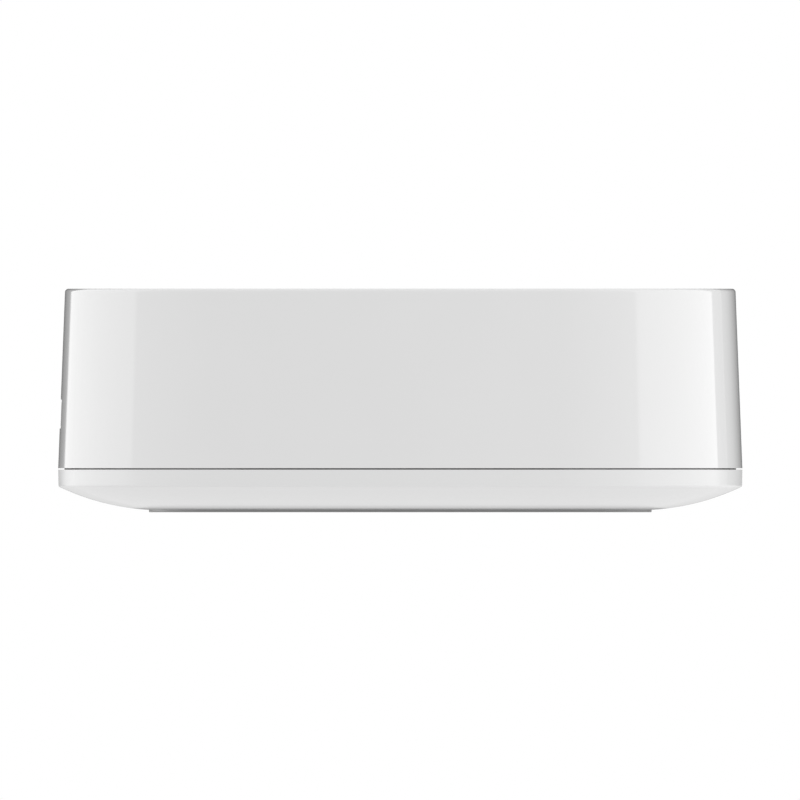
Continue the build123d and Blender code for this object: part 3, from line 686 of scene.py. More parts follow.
def solder_mask(name, mask, over_copper):
    """Solder mask over copper tracks and a glass weave."""
    made, tree = empty_material(name)
    place = add_node(tree, "ShaderNodeTexCoord").outputs["Object"]
    tracks = add_node(
        tree,
        "ShaderNodeTexBrick",
        {
            "Vector": place,
            "Color1": linear(mask),
            "Color2": linear(over_copper),
            "Mortar": linear(mask),
            "Scale": 1 / MM,
            "Mortar Size": 0.12,
            "Brick Width": TRACK_LONG,
            "Row Height": TRACK_PITCH,
        },
    ).outputs
    waves = {"Vector": place, "Scale": 1 / (2 * math.pi * WEAVE_PITCH), "Distortion": 0.4}
    weave = add_node(tree, "ShaderNodeTexWave", waves, bands_direction="DIAGONAL").outputs[1]
    polish = add_node(tree, "ShaderNodeMapRange", {"Value": weave, "To Min": 0.22, "To Max": 0.32})
    height = add_node(tree, "ShaderNodeMath", {0: tracks["Fac"], 1: weave}, operation="ADD")
    relief = {"Height": height, "Distance": 0.01 * MM}
    bump = add_node(tree, "ShaderNodeBump", relief, invert=True)
    skin = {"IOR": 1.55, "Base Color": tracks["Color"], "Roughness": polish, "Normal": bump}
    surface = add_node(tree, "ShaderNodeBsdfPrincipled", skin)
    add_node(tree, "ShaderNodeOutputMaterial", {"Surface": surface})
    return made


green_solder_mask = solder_mask("green_solder_mask", "#0c4a26", "#14683a")
blue_solder_mask = solder_mask("blue_solder_mask", "#0d2f66", "#144489")
print(len(bpy.data.materials), "materials so far")

# %% [markdown]
# ## Upper shell
# The upper shell is a thin box with its walls drafted by two degrees so that it leaves the mould, a
# half-millimetre radius round its top and a crisp foot to its wall. One section holds all of it.
# Swept round the outline, it leaves two flat holes inside the path, which are closed as faces. The
# openings are cut afterwards, as the mould's cores would.

# %% Upper shell: section and sweep
REACH = HALF - SPINE
WALL = 2.2 * MM
TOP = cad_high.z
UPPER_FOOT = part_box("top_shell")[0].z
CEILING = TOP - WALL
TOP_RADIUS = 0.5 * MM
SEAM_RADIUS = 0.03 * MM


def wall_inset(z):
    """How far the draft has brought the wall in at a height."""
    return (z - UPPER_FOOT) * WALL_LEAN


top_section = rounded(
    [
        (0, TOP, 0),
        (REACH - wall_inset(TOP), TOP, TOP_RADIUS),
        (REACH, UPPER_FOOT, SEAM_RADIUS),
        (REACH - WALL, UPPER_FOOT, SEAM_RADIUS),
        (REACH - WALL - wall_inset(CEILING), CEILING, TOP_RADIUS),
        (0, CEILING, 0),
    ],
    closed=False,
)
top_shell = sweep("top_shell_skin", top_section)


# %% [markdown]
# Behind the wall there are a frame for the port plate, four screw bosses, two ribs beside the button and
# a collar for the light pipe. They are added as solids that reach a little way into the wall or the
# ceiling, because a boolean needs an overlap and not a shared face.


# %% Upper shell: what stands inside
def bowed_back(inset):
    """The back side's y at any x, moved in by inset."""
    return lambda x: math.sqrt((SIDE_RADIUS - inset) ** 2 - x**2) - bow_offset


BITE = 0.3 * MM
FRAME_FRONT = 41.8 * MM
FRAME_HALF = 25.0 * MM
BOARD_TOP = 11.6 * MM
BOSS = 26.43 * MM
BOSS_RADIUS = 3.6 * MM
LIGHT_Y = -40.0 * MM
COLLAR_RADIUS = 3.5 * MM
COLLAR_FOOT = 28.4 * MM
BOW_STEPS = 12
back_curve = bowed_back(1.6 * MM)
frame_outline = [(-FRAME_HALF, FRAME_FRONT), (FRAME_HALF, FRAME_FRONT)]
across = [i * FRAME_HALF / BOW_STEPS for i in range(BOW_STEPS, -BOW_STEPS - 1, -1)]
frame_outline += [(x, back_curve(x)) for x in across]
frame_block = prism("frame", frame_outline, UPPER_FOOT + SEAM_RADIUS, CEILING + BITE, "Z")
combine(top_shell, frame_block, "UNION")
boss = prism("boss", circle(0, 0, BOSS_RADIUS), BOARD_TOP, CEILING + BITE, "Z")
combine(top_shell, on_grid(boss, 2, 2, 2 * BOSS, 2 * BOSS), "UNION")
light_collar = prism("collar", circle(0, LIGHT_Y, COLLAR_RADIUS), COLLAR_FOOT, CEILING + BITE, "Z")
combine(top_shell, light_collar, "UNION")

BUTTON_Z = 14.06 * MM
BUTTON_WIDTH = 12.2 * MM
BUTTON_TALL = 4.15 * MM
RIB_X, RIB_Y = -46.2 * MM, 7.8 * MM
RIB_LONG, RIB_THICK = 2.4 * MM, 1.0 * MM
RIB_FOOT = 10.1 * MM
rib_outline = rectangle(RIB_X, 0, RIB_LONG, RIB_THICK)
rib = prism("rib", rib_outline, RIB_FOOT, CEILING + BITE, "Z")
combine(top_shell, on_grid(rib, 1, 2, 0, 2 * RIB_Y), "UNION")
print("upper shell faces", len(top_shell.data.polygons))

# %% [markdown]
# The cores that shape the openings come out in three directions: up through the foot for the port plate
# and its groove, back through the wall for the port window, and sideways for the button. Each cutter is
# a solid that overshoots the wall. The edges that a finger can feel are then softened.

# %% Upper shell: openings
WINDOW_HALF = 21.0 * MM
WINDOW_TOP = 26.0 * MM
GROOVE_HALF = 23.0 * MM
GROOVE = (43.8 * MM, 45.9 * MM)
GROOVE_TOP = 28.0 * MM
BELOW = UPPER_FOOT - 1 * MM
BUTTON_CORNER = 0.6 * MM
WALL_BACK = -45.4 * MM
LIGHT_HOLE, LIGHT_SEAT = 1.6 * MM, 2.7 * MM
LIGHT_FOOT = 28.0 * MM
PILOT_RADIUS = 1.55 * MM
PILOT_TOP = 18.8 * MM
window = slab(
    "window",
    Vector((-WINDOW_HALF, FRAME_FRONT - BITE, BELOW)),
    Vector((WINDOW_HALF, HALF + BITE, WINDOW_TOP)),
    "Y",
)
groove = slab(
    "groove", Vector((-GROOVE_HALF, GROOVE[0], BELOW)), Vector((GROOVE_HALF, GROOVE[1], GROOVE_TOP)), "Z"
)
button_outline = rectangle(0, BUTTON_Z, BUTTON_WIDTH, BUTTON_TALL, BUTTON_CORNER)
button_hole = prism("button_hole", button_outline, -HALF - BITE, WALL_BACK, "X")
light_hole = prism("light_hole", circle(0, LIGHT_Y, LIGHT_HOLE, 64), LIGHT_FOOT, TOP + BITE, "Z")
light_seat = prism("light_seat", circle(0, LIGHT_Y, LIGHT_SEAT), LIGHT_FOOT, CEILING, "Z")
pilot = prism("pilot", circle(0, 0, PILOT_RADIUS), BOARD_TOP - BITE, PILOT_TOP, "Z")
for cutter in (window, groove, button_hole, light_hole, light_seat):
    combine(top_shell, cutter, "DIFFERENCE")
combine(top_shell, on_grid(pilot, 2, 2, 2 * BOSS, 2 * BOSS), "DIFFERENCE")


def at_opening(point):
    """True on the outer edges of the port window, the button opening and the light's hole."""
    at_window = point.y > 46.2 * MM and abs(point.x) < WINDOW_HALF + 0.1 * MM
    at_button = point.x < -48.2 * MM and abs(point.y) < BUTTON_WIDTH / 2 + 0.1 * MM
    at_light = point.z > TOP - 0.01 * MM and (point - Vector((0, LIGHT_Y, TOP))).length < 2 * MM
    return (at_window and point.z < WINDOW_TOP + 0.1 * MM) or at_button or at_light


OPENING_EDGE = 0.12 * MM
soften(top_shell, at_opening, OPENING_EDGE)
tidy(top_shell)
show(top_shell, gloss_white_abs, ["top_shell"])

# %% [markdown]
# ## Lower shell
# Under the seam the lower shell drops as a short upright band, then turns at a crease into a shallow
# bowl whose radius is as large as the hub's corner. Its section also holds the floor, the inner wall,
# the lip that lines up with the upper shell and the groove for the foot ring. Just behind the seam the
# rim steps up to meet the upper shell, so what the eye takes for a joint is a shadow line 0.9 mm deep.
# The CAD model's rim has no such step: there the gap runs through the wall to the lip.

# %% Lower shell: section and sweep
UNDERSIDE = 0.3 * MM
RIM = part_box("port_plate")[0].z
CREASE = 3.65 * MM
BAND_LEAN = 0.05 * MM
BOWL_RADIUS = 34.0 * MM
FLOOR = 2.0 * MM
FLAT = 34.2 * MM - SPINE
LIP_EDGE = 0.2 * MM
LIP_OUTER = REACH - 2.45 * MM
LIP_INNER = REACH - 3.65 * MM
SEAM_DEPTH = 0.9 * MM
LIP_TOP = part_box("base_shell")[1].z
GROOVE_OUTER = REACH - 12.9 * MM
GROOVE_INNER = REACH - 22.1 * MM
GROOVE_ROOF = 0.9 * MM
CREASE_RADIUS = 0.35 * MM


def bowl_height(x, radius, bottom):
    """Height of a bowl of a radius, at a distance out from the spine."""
    return bottom + radius - math.sqrt(radius**2 - (x - FLAT) ** 2)


def bowl_arc(start, end, radius, bottom, steps):
    """Section points along the bowl, without its two ends."""
    spans = [start + (end - start) * i / steps for i in range(1, steps)]
    return [(x, bowl_height(x, radius, bottom), 0) for x in spans]


inner_radius = BOWL_RADIUS - FLOOR
inner_floor = UNDERSIDE + FLOOR
base_section = rounded(
    [
        (0, UNDERSIDE, 0),
        (GROOVE_INNER, UNDERSIDE, 0),
        (GROOVE_INNER, GROOVE_ROOF, 0),
        (GROOVE_OUTER, GROOVE_ROOF, 0),
        (GROOVE_OUTER, bowl_height(GROOVE_OUTER, BOWL_RADIUS, UNDERSIDE), 0),
        *bowl_arc(GROOVE_OUTER, REACH - BAND_LEAN - 0.5 * MM, BOWL_RADIUS, UNDERSIDE, 24),
        (REACH - BAND_LEAN, CREASE, CREASE_RADIUS),
        (REACH, RIM, SEAM_RADIUS),
        (REACH - SEAM_DEPTH, RIM, 0),
        (REACH - SEAM_DEPTH, UPPER_FOOT, 0),
        (LIP_OUTER, UPPER_FOOT, LIP_EDGE),
        (LIP_OUTER, LIP_TOP, LIP_EDGE),
        (LIP_INNER, LIP_TOP, LIP_EDGE),
        (LIP_INNER, bowl_height(LIP_INNER, inner_radius, inner_floor), 0.3 * MM),
        *bowl_arc(LIP_INNER, FLAT, inner_radius, inner_floor, 12),
        (FLAT, inner_floor, 0),
        (0, inner_floor, 0),
    ],
    closed=False,
)
base_shell = sweep("base_shell_skin", base_section)

# %% [markdown]
# The sill under the port plate is solid, bosses carry the board, and the screw heads sit in deep holes
# that the foot ring covers.

# %% Lower shell: bosses, holes and label recess
SILL_HALF = 25.3 * MM
BOARD_UNDERSIDE = 10.0 * MM
BOARD_SCREW = (34.0 * MM, 8.0 * MM)
BOARD_BOSS = 2.3 * MM
BOARD_PILOT = 1.25 * MM
HEAD_SEAT = 3.5 * MM
HEAD_HOLE, SHANK_HOLE = 3.05 * MM, 1.8 * MM
ABOVE_BOSS = 11.0 * MM
sill_curve = bowed_back(3.0 * MM)
sill_outline = [(-FRAME_HALF, FRAME_FRONT), (FRAME_HALF, FRAME_FRONT)]
sill_outline += [(x, sill_curve(x)) for x in across]
combine(base_shell, prism("sill", sill_outline, inner_floor - BITE, RIM, "Z"), "UNION")
lip_gap = slab(
    "lip_gap",
    Vector((-SILL_HALF, FRAME_FRONT - BITE, RIM)),
    Vector((SILL_HALF, HALF, LIP_TOP + BITE)),
    "Z",
)
combine(base_shell, lip_gap, "DIFFERENCE")
case_boss = prism("case_boss", circle(0, 0, BOSS_RADIUS), inner_floor - BITE, BOARD_UNDERSIDE, "Z")
combine(base_shell, on_grid(case_boss, 2, 2, 2 * BOSS, 2 * BOSS), "UNION")
small_boss = circle(0, BOARD_SCREW[1], BOARD_BOSS)
board_boss = prism("board_boss", small_boss, inner_floor - BITE, BOARD_UNDERSIDE, "Z")
combine(base_shell, on_grid(board_boss, 2, 1, 2 * BOARD_SCREW[0], 0), "UNION")
head_hole = prism("head_hole", circle(0, 0, HEAD_HOLE), UNDERSIDE - BITE, HEAD_SEAT, "Z")
combine(base_shell, on_grid(head_hole, 2, 2, 2 * BOSS, 2 * BOSS), "DIFFERENCE")
shank_hole = prism("shank_hole", circle(0, 0, SHANK_HOLE), HEAD_SEAT - BITE, ABOVE_BOSS, "Z")
combine(base_shell, on_grid(shank_hole, 2, 2, 2 * BOSS, 2 * BOSS), "DIFFERENCE")
small_pilot = circle(0, BOARD_SCREW[1], BOARD_PILOT)
board_pilot = prism("board_pilot", small_pilot, 5.3 * MM, ABOVE_BOSS, "Z")
combine(base_shell, on_grid(board_pilot, 2, 1, 2 * BOARD_SCREW[0], 0), "DIFFERENCE")
LABEL = 34.0 * MM
LABEL_CORNER = 2.0 * MM
LABEL_GAP = 0.2 * MM
recess_outline = rectangle(0, 0, LABEL + LABEL_GAP, LABEL + LABEL_GAP, LABEL_CORNER)
label_recess = prism("label_recess", recess_outline, UNDERSIDE - BITE, UNDERSIDE + LABEL_GAP, "Z")
combine(base_shell, label_recess, "DIFFERENCE")
tidy(base_shell)
show(base_shell, satin_white_abs, ["base_shell"])

# %% [markdown]
# ## Foot ring and label
# The ring is die-cut rubber that follows the hub's outline, pressed into its groove. It is one more
# sweep, with its lower edges rounded. The label is a thin film in its own shallow recess, left blank.

# %% Foot ring and label
FOOT_EDGE = 0.12 * MM
foot_outer, foot_inner = REACH - 13.0 * MM, REACH - 22.0 * MM
foot_section = rounded(
    [
        (foot_inner, 0, FOOT_EDGE),
        (foot_outer, 0, FOOT_EDGE),
        (foot_outer, GROOVE_ROOF, 0),
        (foot_inner, GROOVE_ROOF, 0),
    ]
)
foot_ring = sweep("foot_ring_rubber", foot_section, closed=True)
show(foot_ring, foot_silicone, ["foot_ring"])

label = prism("blank_label", rectangle(0, 0, LABEL, LABEL, LABEL_CORNER), 0.35 * MM, 0.5 * MM, "Z")
soften(label, lambda point: point.z < 0.36 * MM, 0.04 * MM)
tidy(label)
show(label, label_film, ["rating_label"])

# %% [markdown]
# ## Pairing button
# The button's cap follows the wall's bow and draft, a hair behind it. The surest way to that is to cut
# it from a second sweep of the same outline, set back by a tenth of a millimetre, and then to round its
# rim. Behind the wall it has a flange, which stops it falling out, and a stem that meets the switch.

# %% Pairing button
SETBACK = 0.12 * MM
CAP_GAP = 0.18 * MM
CAP_CORNER = 0.51 * MM
CAP_EDGE = 0.2 * MM
CAP_BACK = -46.0 * MM
FLANGE_BACK = -45.2 * MM
STEM_BACK = -43.3 * MM
STEM = 3.0 * MM
cap_width, cap_tall = BUTTON_WIDTH - 2 * CAP_GAP, BUTTON_TALL - 2 * CAP_GAP
cap_outline = rectangle(0, BUTTON_Z, cap_width, cap_tall, CAP_CORNER)
cap = prism("pairing_button_face", cap_outline, -HALF - BITE, CAP_BACK + BITE, "X")
blank = sweep(
    "cap_blank",
    [(0, TOP), (REACH - SETBACK - wall_inset(TOP), TOP), (REACH - SETBACK, UPPER_FOOT), (0, UPPER_FOOT)],
)
combine(cap, blank, "INTERSECT")
soften(cap, lambda point: point.x < -47.5 * MM, CAP_EDGE, segments=4)
flange_outline = rectangle(0, BUTTON_Z, 14.0 * MM, 5.95 * MM, 0.3 * MM)
combine(cap, prism("flange", flange_outline, CAP_BACK, FLANGE_BACK, "X"), "UNION")
stem_outline = rectangle(0, BUTTON_Z, STEM, STEM, CAP_EDGE)
combine(cap, prism("stem", stem_outline, WALL_BACK, STEM_BACK, "X"), "UNION")
tidy(cap)
show(cap, gloss_white_abs, ["pairing_button_cap"], "pairing_button")

# %% [markdown]
# The table glows less where the hub shades it. The tent's glow from below doesn't know that, so a dim
# card, a little larger than the foot, lies there as painted shade: it is the hub's own shadow on the
# table. It is part of the studio, and the camera doesn't see it.

# %% The painted shadow under the hub
SHADED = 38.4 * MM
shade_card = sweep("shade_card", [(0, 0), (SHADED - SPINE, 0)])
shade_card.data.materials.clear()
# The card's dim glow is painted shade, where the hub keeps light off the table.
shade_card.data.materials.append(sheet_of("painted_table_shadow", "ShaderNodeEmission", "#acacac"))
shade_card.visible_camera = False

# %% [markdown]
# ## Rear bay
# The sockets look out through a separate grey plate that slides up into a groove in the upper shell.
# Its openings get a small radius on their front edges, as moulded ones have: the rectangular one clears
# the network socket's metal shield, the round one takes a barrel plug and the smallest one a paper clip.

# %% Port plate
plate_low, plate_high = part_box("port_plate")
jack_low, jack_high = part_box("ethernet_jack_shield")
PLATE_GAP = 0.3 * MM
POWER = (9.5 * MM, 18.1 * MM)
POWER_WINDOW = 4.2 * MM
RESET = (18.5 * MM, 14.0 * MM)
PINHOLE = 0.8 * MM
plate_size = plate_high - plate_low
jack_middle = (jack_low + jack_high) / 2
jack_size = jack_high - jack_low
port_plate = prism(
    "port_plate_face",
    rectangle(0, (plate_low.z + plate_high.z) / 2, plate_size.x, plate_size.z, 0.25 * MM),
    plate_low.y,
    plate_high.y,
    "Y",
)
through = (plate_low.y - BITE, plate_high.y + BITE)
jack_window = prism(
    "jack_window",
    rectangle(
        jack_middle.x, jack_middle.z, jack_size.x + 2 * PLATE_GAP, jack_size.z + 2 * PLATE_GAP, 0.4 * MM
    ),
    *through,
    "Y",
)
power_window = prism("power_window", circle(*POWER, POWER_WINDOW, 72), *through, "Y")
pinhole = prism("pinhole", circle(*RESET, PINHOLE, 32), *through, "Y")
combine(port_plate, joined("plate_cutters", [jack_window, power_window, pinhole]), "DIFFERENCE")
soften(port_plate, lambda point: point.y > plate_high.y - 0.01 * MM, 0.18 * MM)
tidy(port_plate)
show(port_plate, grey_matte_abs, ["port_plate"])

# %% [markdown]
# The network socket is a folded tin-plated shield round a black moulding. The moulding has a stepped
# opening, wide for the plug and narrow below it for its latch, two small lamps above, and eight sprung
# gold contacts that slope back into it. The contacts are one blade on a grid of eight.

# %% Network socket
SHEET = 0.25 * MM
FACE = jack_high.y
shield = prism(
    "network_socket_shield",
    rectangle(jack_middle.x, jack_middle.z, jack_size.x, jack_size.z, 0.35 * MM),
    jack_low.y,
    FACE,
    "Y",
)
inside_high = jack_high.z - SHEET
inside = prism(
    "inside",
    rectangle(
        jack_middle.x,
        (jack_low.z - BITE + inside_high) / 2,
        jack_size.x - 2 * SHEET,
        inside_high - jack_low.z + BITE,
        0.0,
    ),
    jack_low.y + SHEET,
    FACE + BITE,
    "Y",
)
combine(shield, inside, "DIFFERENCE")
soften(shield, lambda point: point.y > FACE - 0.01 * MM, 0.06 * MM, segments=2)
tidy(shield)
show(shield, tinned_steel, ["ethernet_jack_shield"])

HOUSING_EASE = 0.02 * MM
CAVITY_DEEP = 13.0 * MM
body_low, body_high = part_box("ethernet_jack_housing")
housing = prism(
    "network_socket_housing",
    rectangle(
        jack_middle.x,
        (body_low.z + body_high.z) / 2,
        body_high.x - body_low.x - 2 * HOUSING_EASE,
        body_high.z - body_low.z - 2 * HOUSING_EASE,
        0.2 * MM,
    ),
    body_low.y + HOUSING_EASE,
    FACE,
    "Y",
)
# Wide part for the plug, slot for its latch and a narrower one for the latch's tip, as x half-width
# and height up to, in mm.
plug_steps = [(1.8, 12.8), (1.8, 14.0), (3.1, 14.0), (3.1, 15.6), (5.9, 15.6), (5.9, 22.6)]
right_side = [(jack_middle.x + w * MM, h * MM) for w, h in plug_steps]
left_side = [(jack_middle.x - w * MM, h * MM) for w, h in reversed(plug_steps)]
cavity = prism("cavity", right_side + left_side, FACE - CAVITY_DEEP, FACE + BITE, "Y")
lamp_low, lamp_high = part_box("ethernet_jack_lamps")
LAMP_WIDTH = 2.8 * MM
lamp_pitch = lamp_high.x - lamp_low.x - LAMP_WIDTH
lamp_z = (lamp_low.z + lamp_high.z) / 2
lamp_tall = lamp_high.z - lamp_low.z
lamp_hole = prism(
    "lamp_hole",
    rectangle(jack_middle.x, lamp_z, LAMP_WIDTH, lamp_tall, 0.15 * MM),
    lamp_low.y,
    FACE + BITE,
    "Y",
)
combine(housing, cavity, "DIFFERENCE")
combine(housing, on_grid(lamp_hole, 2, 1, lamp_pitch, 0), "DIFFERENCE")
soften(housing, lambda point: point.y > FACE - 0.01 * MM, 0.2 * MM)
tidy(housing)
show(housing, black_pbt, ["ethernet_jack_housing"])

LAMP_EASE = 0.04 * MM
lamps = prism(
    "network_socket_lamps",
    rectangle(jack_middle.x, lamp_z, LAMP_WIDTH - LAMP_EASE, lamp_tall - LAMP_EASE, 0.12 * MM),
    lamp_low.y + LAMP_EASE,
    FACE,
    "Y",
)
soften(lamps, lambda point: point.y > FACE - 0.01 * MM, 0.2 * MM)
on_grid(lamps, 2, 1, lamp_pitch, 0)
tidy(lamps)
show(lamps, clear_epoxy, ["ethernet_jack_lamps"])

CONTACT_PITCH = 1.02 * MM
CONTACT_WIDTH = 0.45 * MM
CONTACT_SHEET = 0.32 * MM
wire_low, wire_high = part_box("ethernet_jack_contacts")
# The blade drops from the roof near the front and slopes back, then turns up at its free end.
blade = rounded(
    [
        (wire_high.y, wire_high.z, 0),
        (wire_high.y, wire_high.z - 0.5 * MM, 0.3 * MM),
        (wire_low.y, wire_low.z, 0.1 * MM),
        (wire_low.y, wire_low.z + CONTACT_SHEET, 0.1 * MM),
        (wire_high.y - CONTACT_SHEET - 0.1 * MM, wire_high.z, 0),
    ]
)
contacts = prism(
    "network_socket_contacts",
    blade,
    jack_middle.x - CONTACT_WIDTH / 2,
    jack_middle.x + CONTACT_WIDTH / 2,
    "X",
)
on_grid(contacts, 8, 1, CONTACT_PITCH, 0)
tidy(contacts)
show(contacts, gold_flash, ["ethernet_jack_contacts"])

# %% [markdown]
# Round parts are turned: a profile of radius and height goes once round an axis. The power inlet's pin,
# the screws and the light pipe are made that way, with every edge broken as a lathe hand would.


# %% A helper for turned parts, and the power inlet
def turned(name, profile, centre, axis="Z", steps=48):
    """A solid of revolution from (radius, height) points, its axis through centre."""
    first, second, along = AXES[axis]
    vertices, rings = [], []
    for radius, height in profile:
        ring = []
        for a, b in circle(*centre, radius, steps if radius else 1):
            point = [0.0, 0.0, 0.0]
            point[first], point[second], point[along] = a, b, height
            ring.append(len(vertices))
            vertices.append(point)
        rings.append(ring)
    faces = []
    for lower, upper in zip(rings, rings[1:]):
        for i in range(steps):
            j = (i + 1) % steps
            corners = [lower[i % len(lower)], lower[j % len(lower)]]
            corners += [upper[j % len(upper)], upper[i % len(upper)]]
            faces.append(list(dict.fromkeys(corners)))
    return tidy(plain_mesh(name, vertices, faces=faces))


inlet_low, inlet_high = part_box("power_jack_body")
BORE_RADIUS = 3.2 * MM
BORE_DEEP = 10.0 * MM
inlet = prism(
    "power_inlet_body",
    rectangle(
        POWER[0],
        (inlet_low.z + inlet_high.z) / 2,
        inlet_high.x - inlet_low.x,
        inlet_high.z - inlet_low.z,
        0.4 * MM,
    ),
    inlet_low.y,
    inlet_high.y,
    "Y",
)
bore = prism("bore", circle(*POWER, BORE_RADIUS, 72), inlet_high.y - BORE_DEEP, HALF, "Y")
combine(inlet, bore, "DIFFERENCE")
pin_seat = prism(
    "pin_seat",
    circle(*POWER, 1.06 * MM),
    inlet_high.y - BORE_DEEP - 2.0 * MM,
    inlet_high.y - BORE_DEEP + BITE,
    "Y",
)
combine(inlet, pin_seat, "DIFFERENCE")
soften(inlet, lambda point: point.y > inlet_high.y - 0.01 * MM, 0.25 * MM)
tidy(inlet)
show(inlet, black_pbt, ["power_jack_body"])

PIN_RADIUS = 1.05 * MM
pin_low, pin_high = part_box("power_jack_pin")
dome = [
    (PIN_RADIUS - 0.6 * MM * (1 - math.cos(t)), pin_high.y - 0.6 * MM * (1 - math.sin(t)))
    for t in [math.pi / 2 * i / 6 for i in range(7)]
]
pin_profile = [
    (0, pin_low.y),
    (PIN_RADIUS, pin_low.y),
    (PIN_RADIUS, pin_low.y + HUG),
    (PIN_RADIUS, pin_high.y - 0.6 * MM - HUG),
    *dome,
    (0, pin_high.y),
]
pin = turned("power_inlet_pin", pin_profile, POWER, "Y")
show(pin, tinned_steel, ["power_jack_pin"])

# %% [markdown]
# ## Status light and screws
# The light pipe carries a lamp on the board up to the top face, where it ends flush with its edge
# broken. The screws are thread-forming ones: a round-edged head with a cross recess, and a thread drawn
# as a ridge every 0.9 mm. Four stand on a grid, and two shorter ones hold the board.

# %% Light pipe and screws
pipe_low, pipe_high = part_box("light_pipe")
PIPE_RADIUS = 1.5 * MM
PIPE_FLANGE = 2.6 * MM
FLANGE_TALL = 1.4 * MM
BREAK = 0.12 * MM
light_pipe = turned(
    "status_light_pipe",
    [
        (0, pipe_low.z),
        (PIPE_RADIUS - BREAK, pipe_low.z),
        (PIPE_RADIUS, pipe_low.z + BREAK),
        (PIPE_RADIUS, CEILING - FLANGE_TALL),
        (PIPE_FLANGE, CEILING - FLANGE_TALL),
        (PIPE_FLANGE, CEILING),
        (PIPE_RADIUS, CEILING),
        (PIPE_RADIUS, pipe_high.z - BREAK),
        (PIPE_RADIUS - BREAK / 3, pipe_high.z - BREAK / 3),
        (PIPE_RADIUS - BREAK, pipe_high.z),
        (0, pipe_high.z),
    ],
    (0, LIGHT_Y),
)
show(light_pipe, polished_acrylic, ["light_pipe"])


def screw(name, head_end, seat, tip, head_radius, radius, centre):
    """A screw along Z, its head from head_end to seat and its thread on to tip."""
    way = 1 if tip > seat else -1
    head_break = 0.35 * MM
    thread_pitch = 0.9 * MM
    crest, root = radius, radius * 0.78
    profile = [(0, head_end), (head_radius - head_break, head_end)]
    profile += [(head_radius, head_end + way * head_break), (head_radius, seat), (root, seat)]
    turns = int(abs(tip - seat) / thread_pitch) - 1
    for i in range(turns):
        start = seat + way * (0.3 * MM + i * thread_pitch)
        profile += [(root, start), (crest, start + way * 0.35 * thread_pitch)]
        profile += [(crest, start + way * 0.45 * thread_pitch)]
        profile += [(root, start + way * 0.8 * thread_pitch)]
    profile += [(root, tip - way * root), (root * 0.35, tip), (0, tip)]
    made = turned(name, profile, centre, steps=32)
    for turn in (0, math.pi / 2):
        long, thin = head_radius * 1.1, 0.7 * MM
        wide, tall = (long, thin) if turn else (thin, long)
        low, high = sorted((head_end - way * BITE, head_end + way * 0.9 * MM))
        slot = prism("slot", rectangle(*centre, wide, tall, 0.1 * MM), low, high, "Z")
        combine(made, slot, "DIFFERENCE")
    return made


screw_low, screw_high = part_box("case_screws")
case_screws = screw("case_screw_set", screw_low.z, HEAD_SEAT, screw_high.z, 2.75 * MM, 1.5 * MM, (0, 0))
on_grid(case_screws, 2, 2, 2 * BOSS, 2 * BOSS)
tidy(case_screws)
show(case_screws, zinc_plated_steel, ["case_screws"])

screw_low, screw_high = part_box("board_screws")
board_screws = screw(
    "board_screw_set", screw_high.z, BOARD_TOP, screw_low.z, 2.3 * MM, 1.2 * MM, (0, BOARD_SCREW[1])
)
on_grid(board_screws, 2, 1, 2 * BOARD_SCREW[0], 0)
tidy(board_screws)
show(board_screws, zinc_plated_steel, ["board_screws"])

# %% [markdown]
# ## Parts inside
# The parts that stay inside have the right shape in CAD, but a computer's edge is sharp and a moulded
# one isn't. Each is copied, its loose triangles are welded, its flat faces are joined, and a bevel breaks
# its edges. What is already right, such as the flat boards and the pad, only gets its finish.


# %% A helper for parts that keep their CAD shape
def edged(node, name, material, edge=0.08, body="housing"):
    """A welded copy of a CAD node with its edges, in mm, broken."""
    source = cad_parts[node]
    bm = bmesh.new()
    bm.from_mesh(source.data)
    bmesh.ops.remove_doubles(bm, verts=bm.verts, dist=1e-6)
    bmesh.ops.dissolve_limit(bm, angle_limit=math.radians(0.5), verts=bm.verts, edges=bm.edges)
    piece = plain_mesh(name, [])
    bm.to_mesh(piece.data)
    bm.free()
    bevel = piece.modifiers.new("edge", "BEVEL")
    bevel.limit_method = "ANGLE"
    bevel.angle_limit = math.radians(50)
    bevel.width = edge * MM
    bevel.segments = 2
    settle(piece)
    tidy(piece)
    return show(piece, material, [node], body)


def dressed(node, material):
    """Gives a CAD node that stays as it is its finish."""
    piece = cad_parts[node]
    for slot in piece.material_slots:
        slot.material = material
    print(node, "dressed in", material.name)
    return piece


# %% Board, chips and cooling
dressed("main_board", green_solder_mask)
dressed("wifi_module", blue_solder_mask)
dressed("mesh_radio_module", blue_solder_mask)
dressed("thermal_pad", blue_gap_pad)
edged("processor", "processor_body", chip_epoxy)
edged("memory_chip", "memory_body", chip_epoxy)
edged("flash_chip", "flash_body", chip_epoxy)
edged("regulator_chips", "regulator_bodies", chip_epoxy)
edged("ethernet_transformer", "transformer_body", chip_epoxy, 0.25)
edged("power_inductor", "inductor_body", chip_epoxy, 0.15)
edged("storage_capacitors", "capacitor_cans", drawn_aluminium, 0.1)
edged("crystal_can", "crystal_cover", tinned_steel, 0.3)
edged("heat_sink", "heat_sink_body", anodised_aluminium, 0.12)
edged("heat_sink_pins", "push_pins", black_pbt, 0.2)
edged("ceramic_parts", "ceramic_chips", fired_ceramic, 0.06)
edged("wifi_shield_can", "wifi_lid", tinned_steel, 0.1)
edged("mesh_radio_shield_can", "mesh_radio_lid", tinned_steel, 0.1)
edged("left_antenna", "left_antenna_strip", tinned_steel, 0.05)
edged("right_antenna", "right_antenna_strip", tinned_steel, 0.05)
edged("status_lamp", "status_lamp_body", clear_epoxy, 0.1)
edged("pairing_switch", "pairing_switch_body", black_pbt, 0.15)
edged("reset_switch", "reset_switch_body", black_pbt, 0.15)
edged("pairing_switch_plunger", "pairing_plunger", grey_matte_abs, 0.15, "pairing_button")
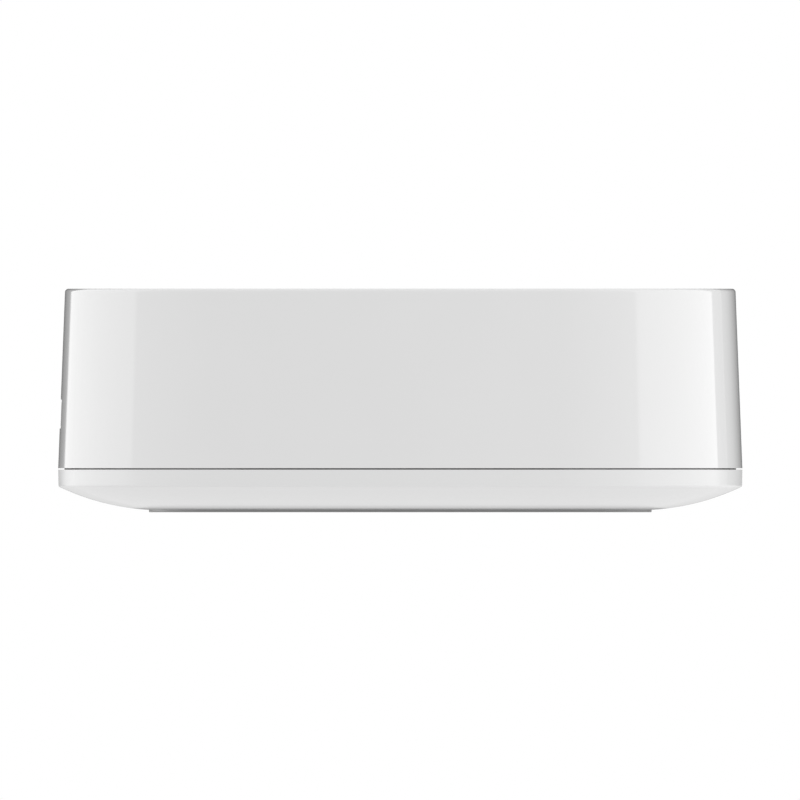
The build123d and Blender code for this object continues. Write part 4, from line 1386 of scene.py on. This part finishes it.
edged("reset_switch_plunger", "reset_plunger", grey_matte_abs, 0.15, "reset_button")

# %% [markdown]
# Chips stand on rows of tinned leads, and the small ceramic parts have a tinned cap at each end. Both
# are one small shape on a grid.


# %% Leads and end caps
def leads(name, node, count, pitch):
    """Flat leads that run out from under a chip on its left and right sides."""
    low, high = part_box(node)
    middle = (low + high) / 2
    reach, wide, sheet = 0.7 * MM, pitch * 0.5, 0.18 * MM
    foot = prism(
        name,
        rectangle((low.x - reach + high.x + reach) / 2, middle.y, high.x - low.x + 2 * reach, wide),
        BOARD_TOP,
        BOARD_TOP + sheet,
        "Z",
    )
    soften(foot, lambda point: point.z > BOARD_TOP + sheet / 2, 0.04 * MM, segments=2)
    on_grid(foot, 1, count, 0, pitch)
    return show(tidy(foot), tinned_steel)


leads("memory_leads", "memory_chip", 20, 0.6 * MM)
leads("flash_leads", "flash_chip", 20, 0.6 * MM)
leads("transformer_leads", "ethernet_transformer", 8, 1.27 * MM)

CHIP_LONG, CHIP_DEEP, CHIP_TALL = 1.6 * MM, 0.9 * MM, 0.8 * MM
CAP_LONG = 0.32 * MM
PROUD = 0.02 * MM


def end_caps(name, middle, count_x, count_y, pitch_x, pitch_y):
    """A tinned cap at each end of each ceramic part of a group."""
    x, y = middle
    cap_x = (CHIP_LONG - CAP_LONG) / 2 + PROUD
    ends = [
        prism(
            "end",
            rectangle(x + side * cap_x, y, CAP_LONG, CHIP_DEEP + 2 * PROUD, 0.05 * MM),
            BOARD_TOP,
            BOARD_TOP + CHIP_TALL + PROUD,
            "Z",
        )
        for side in (-1, 1)
    ]
    caps = on_grid(joined(name, ends), count_x, count_y, pitch_x, pitch_y)
    return show(tidy(caps), tinned_steel)


end_caps("front_ceramic_ends", (0, -18.25 * MM), 9, 2, 3.6 * MM, 2.5 * MM)
end_caps("rear_ceramic_ends", (8.5 * MM, 16.5 * MM), 3, 2, 3.2 * MM, 2.2 * MM)

# %% Update the scene
bpy.context.view_layer.update()
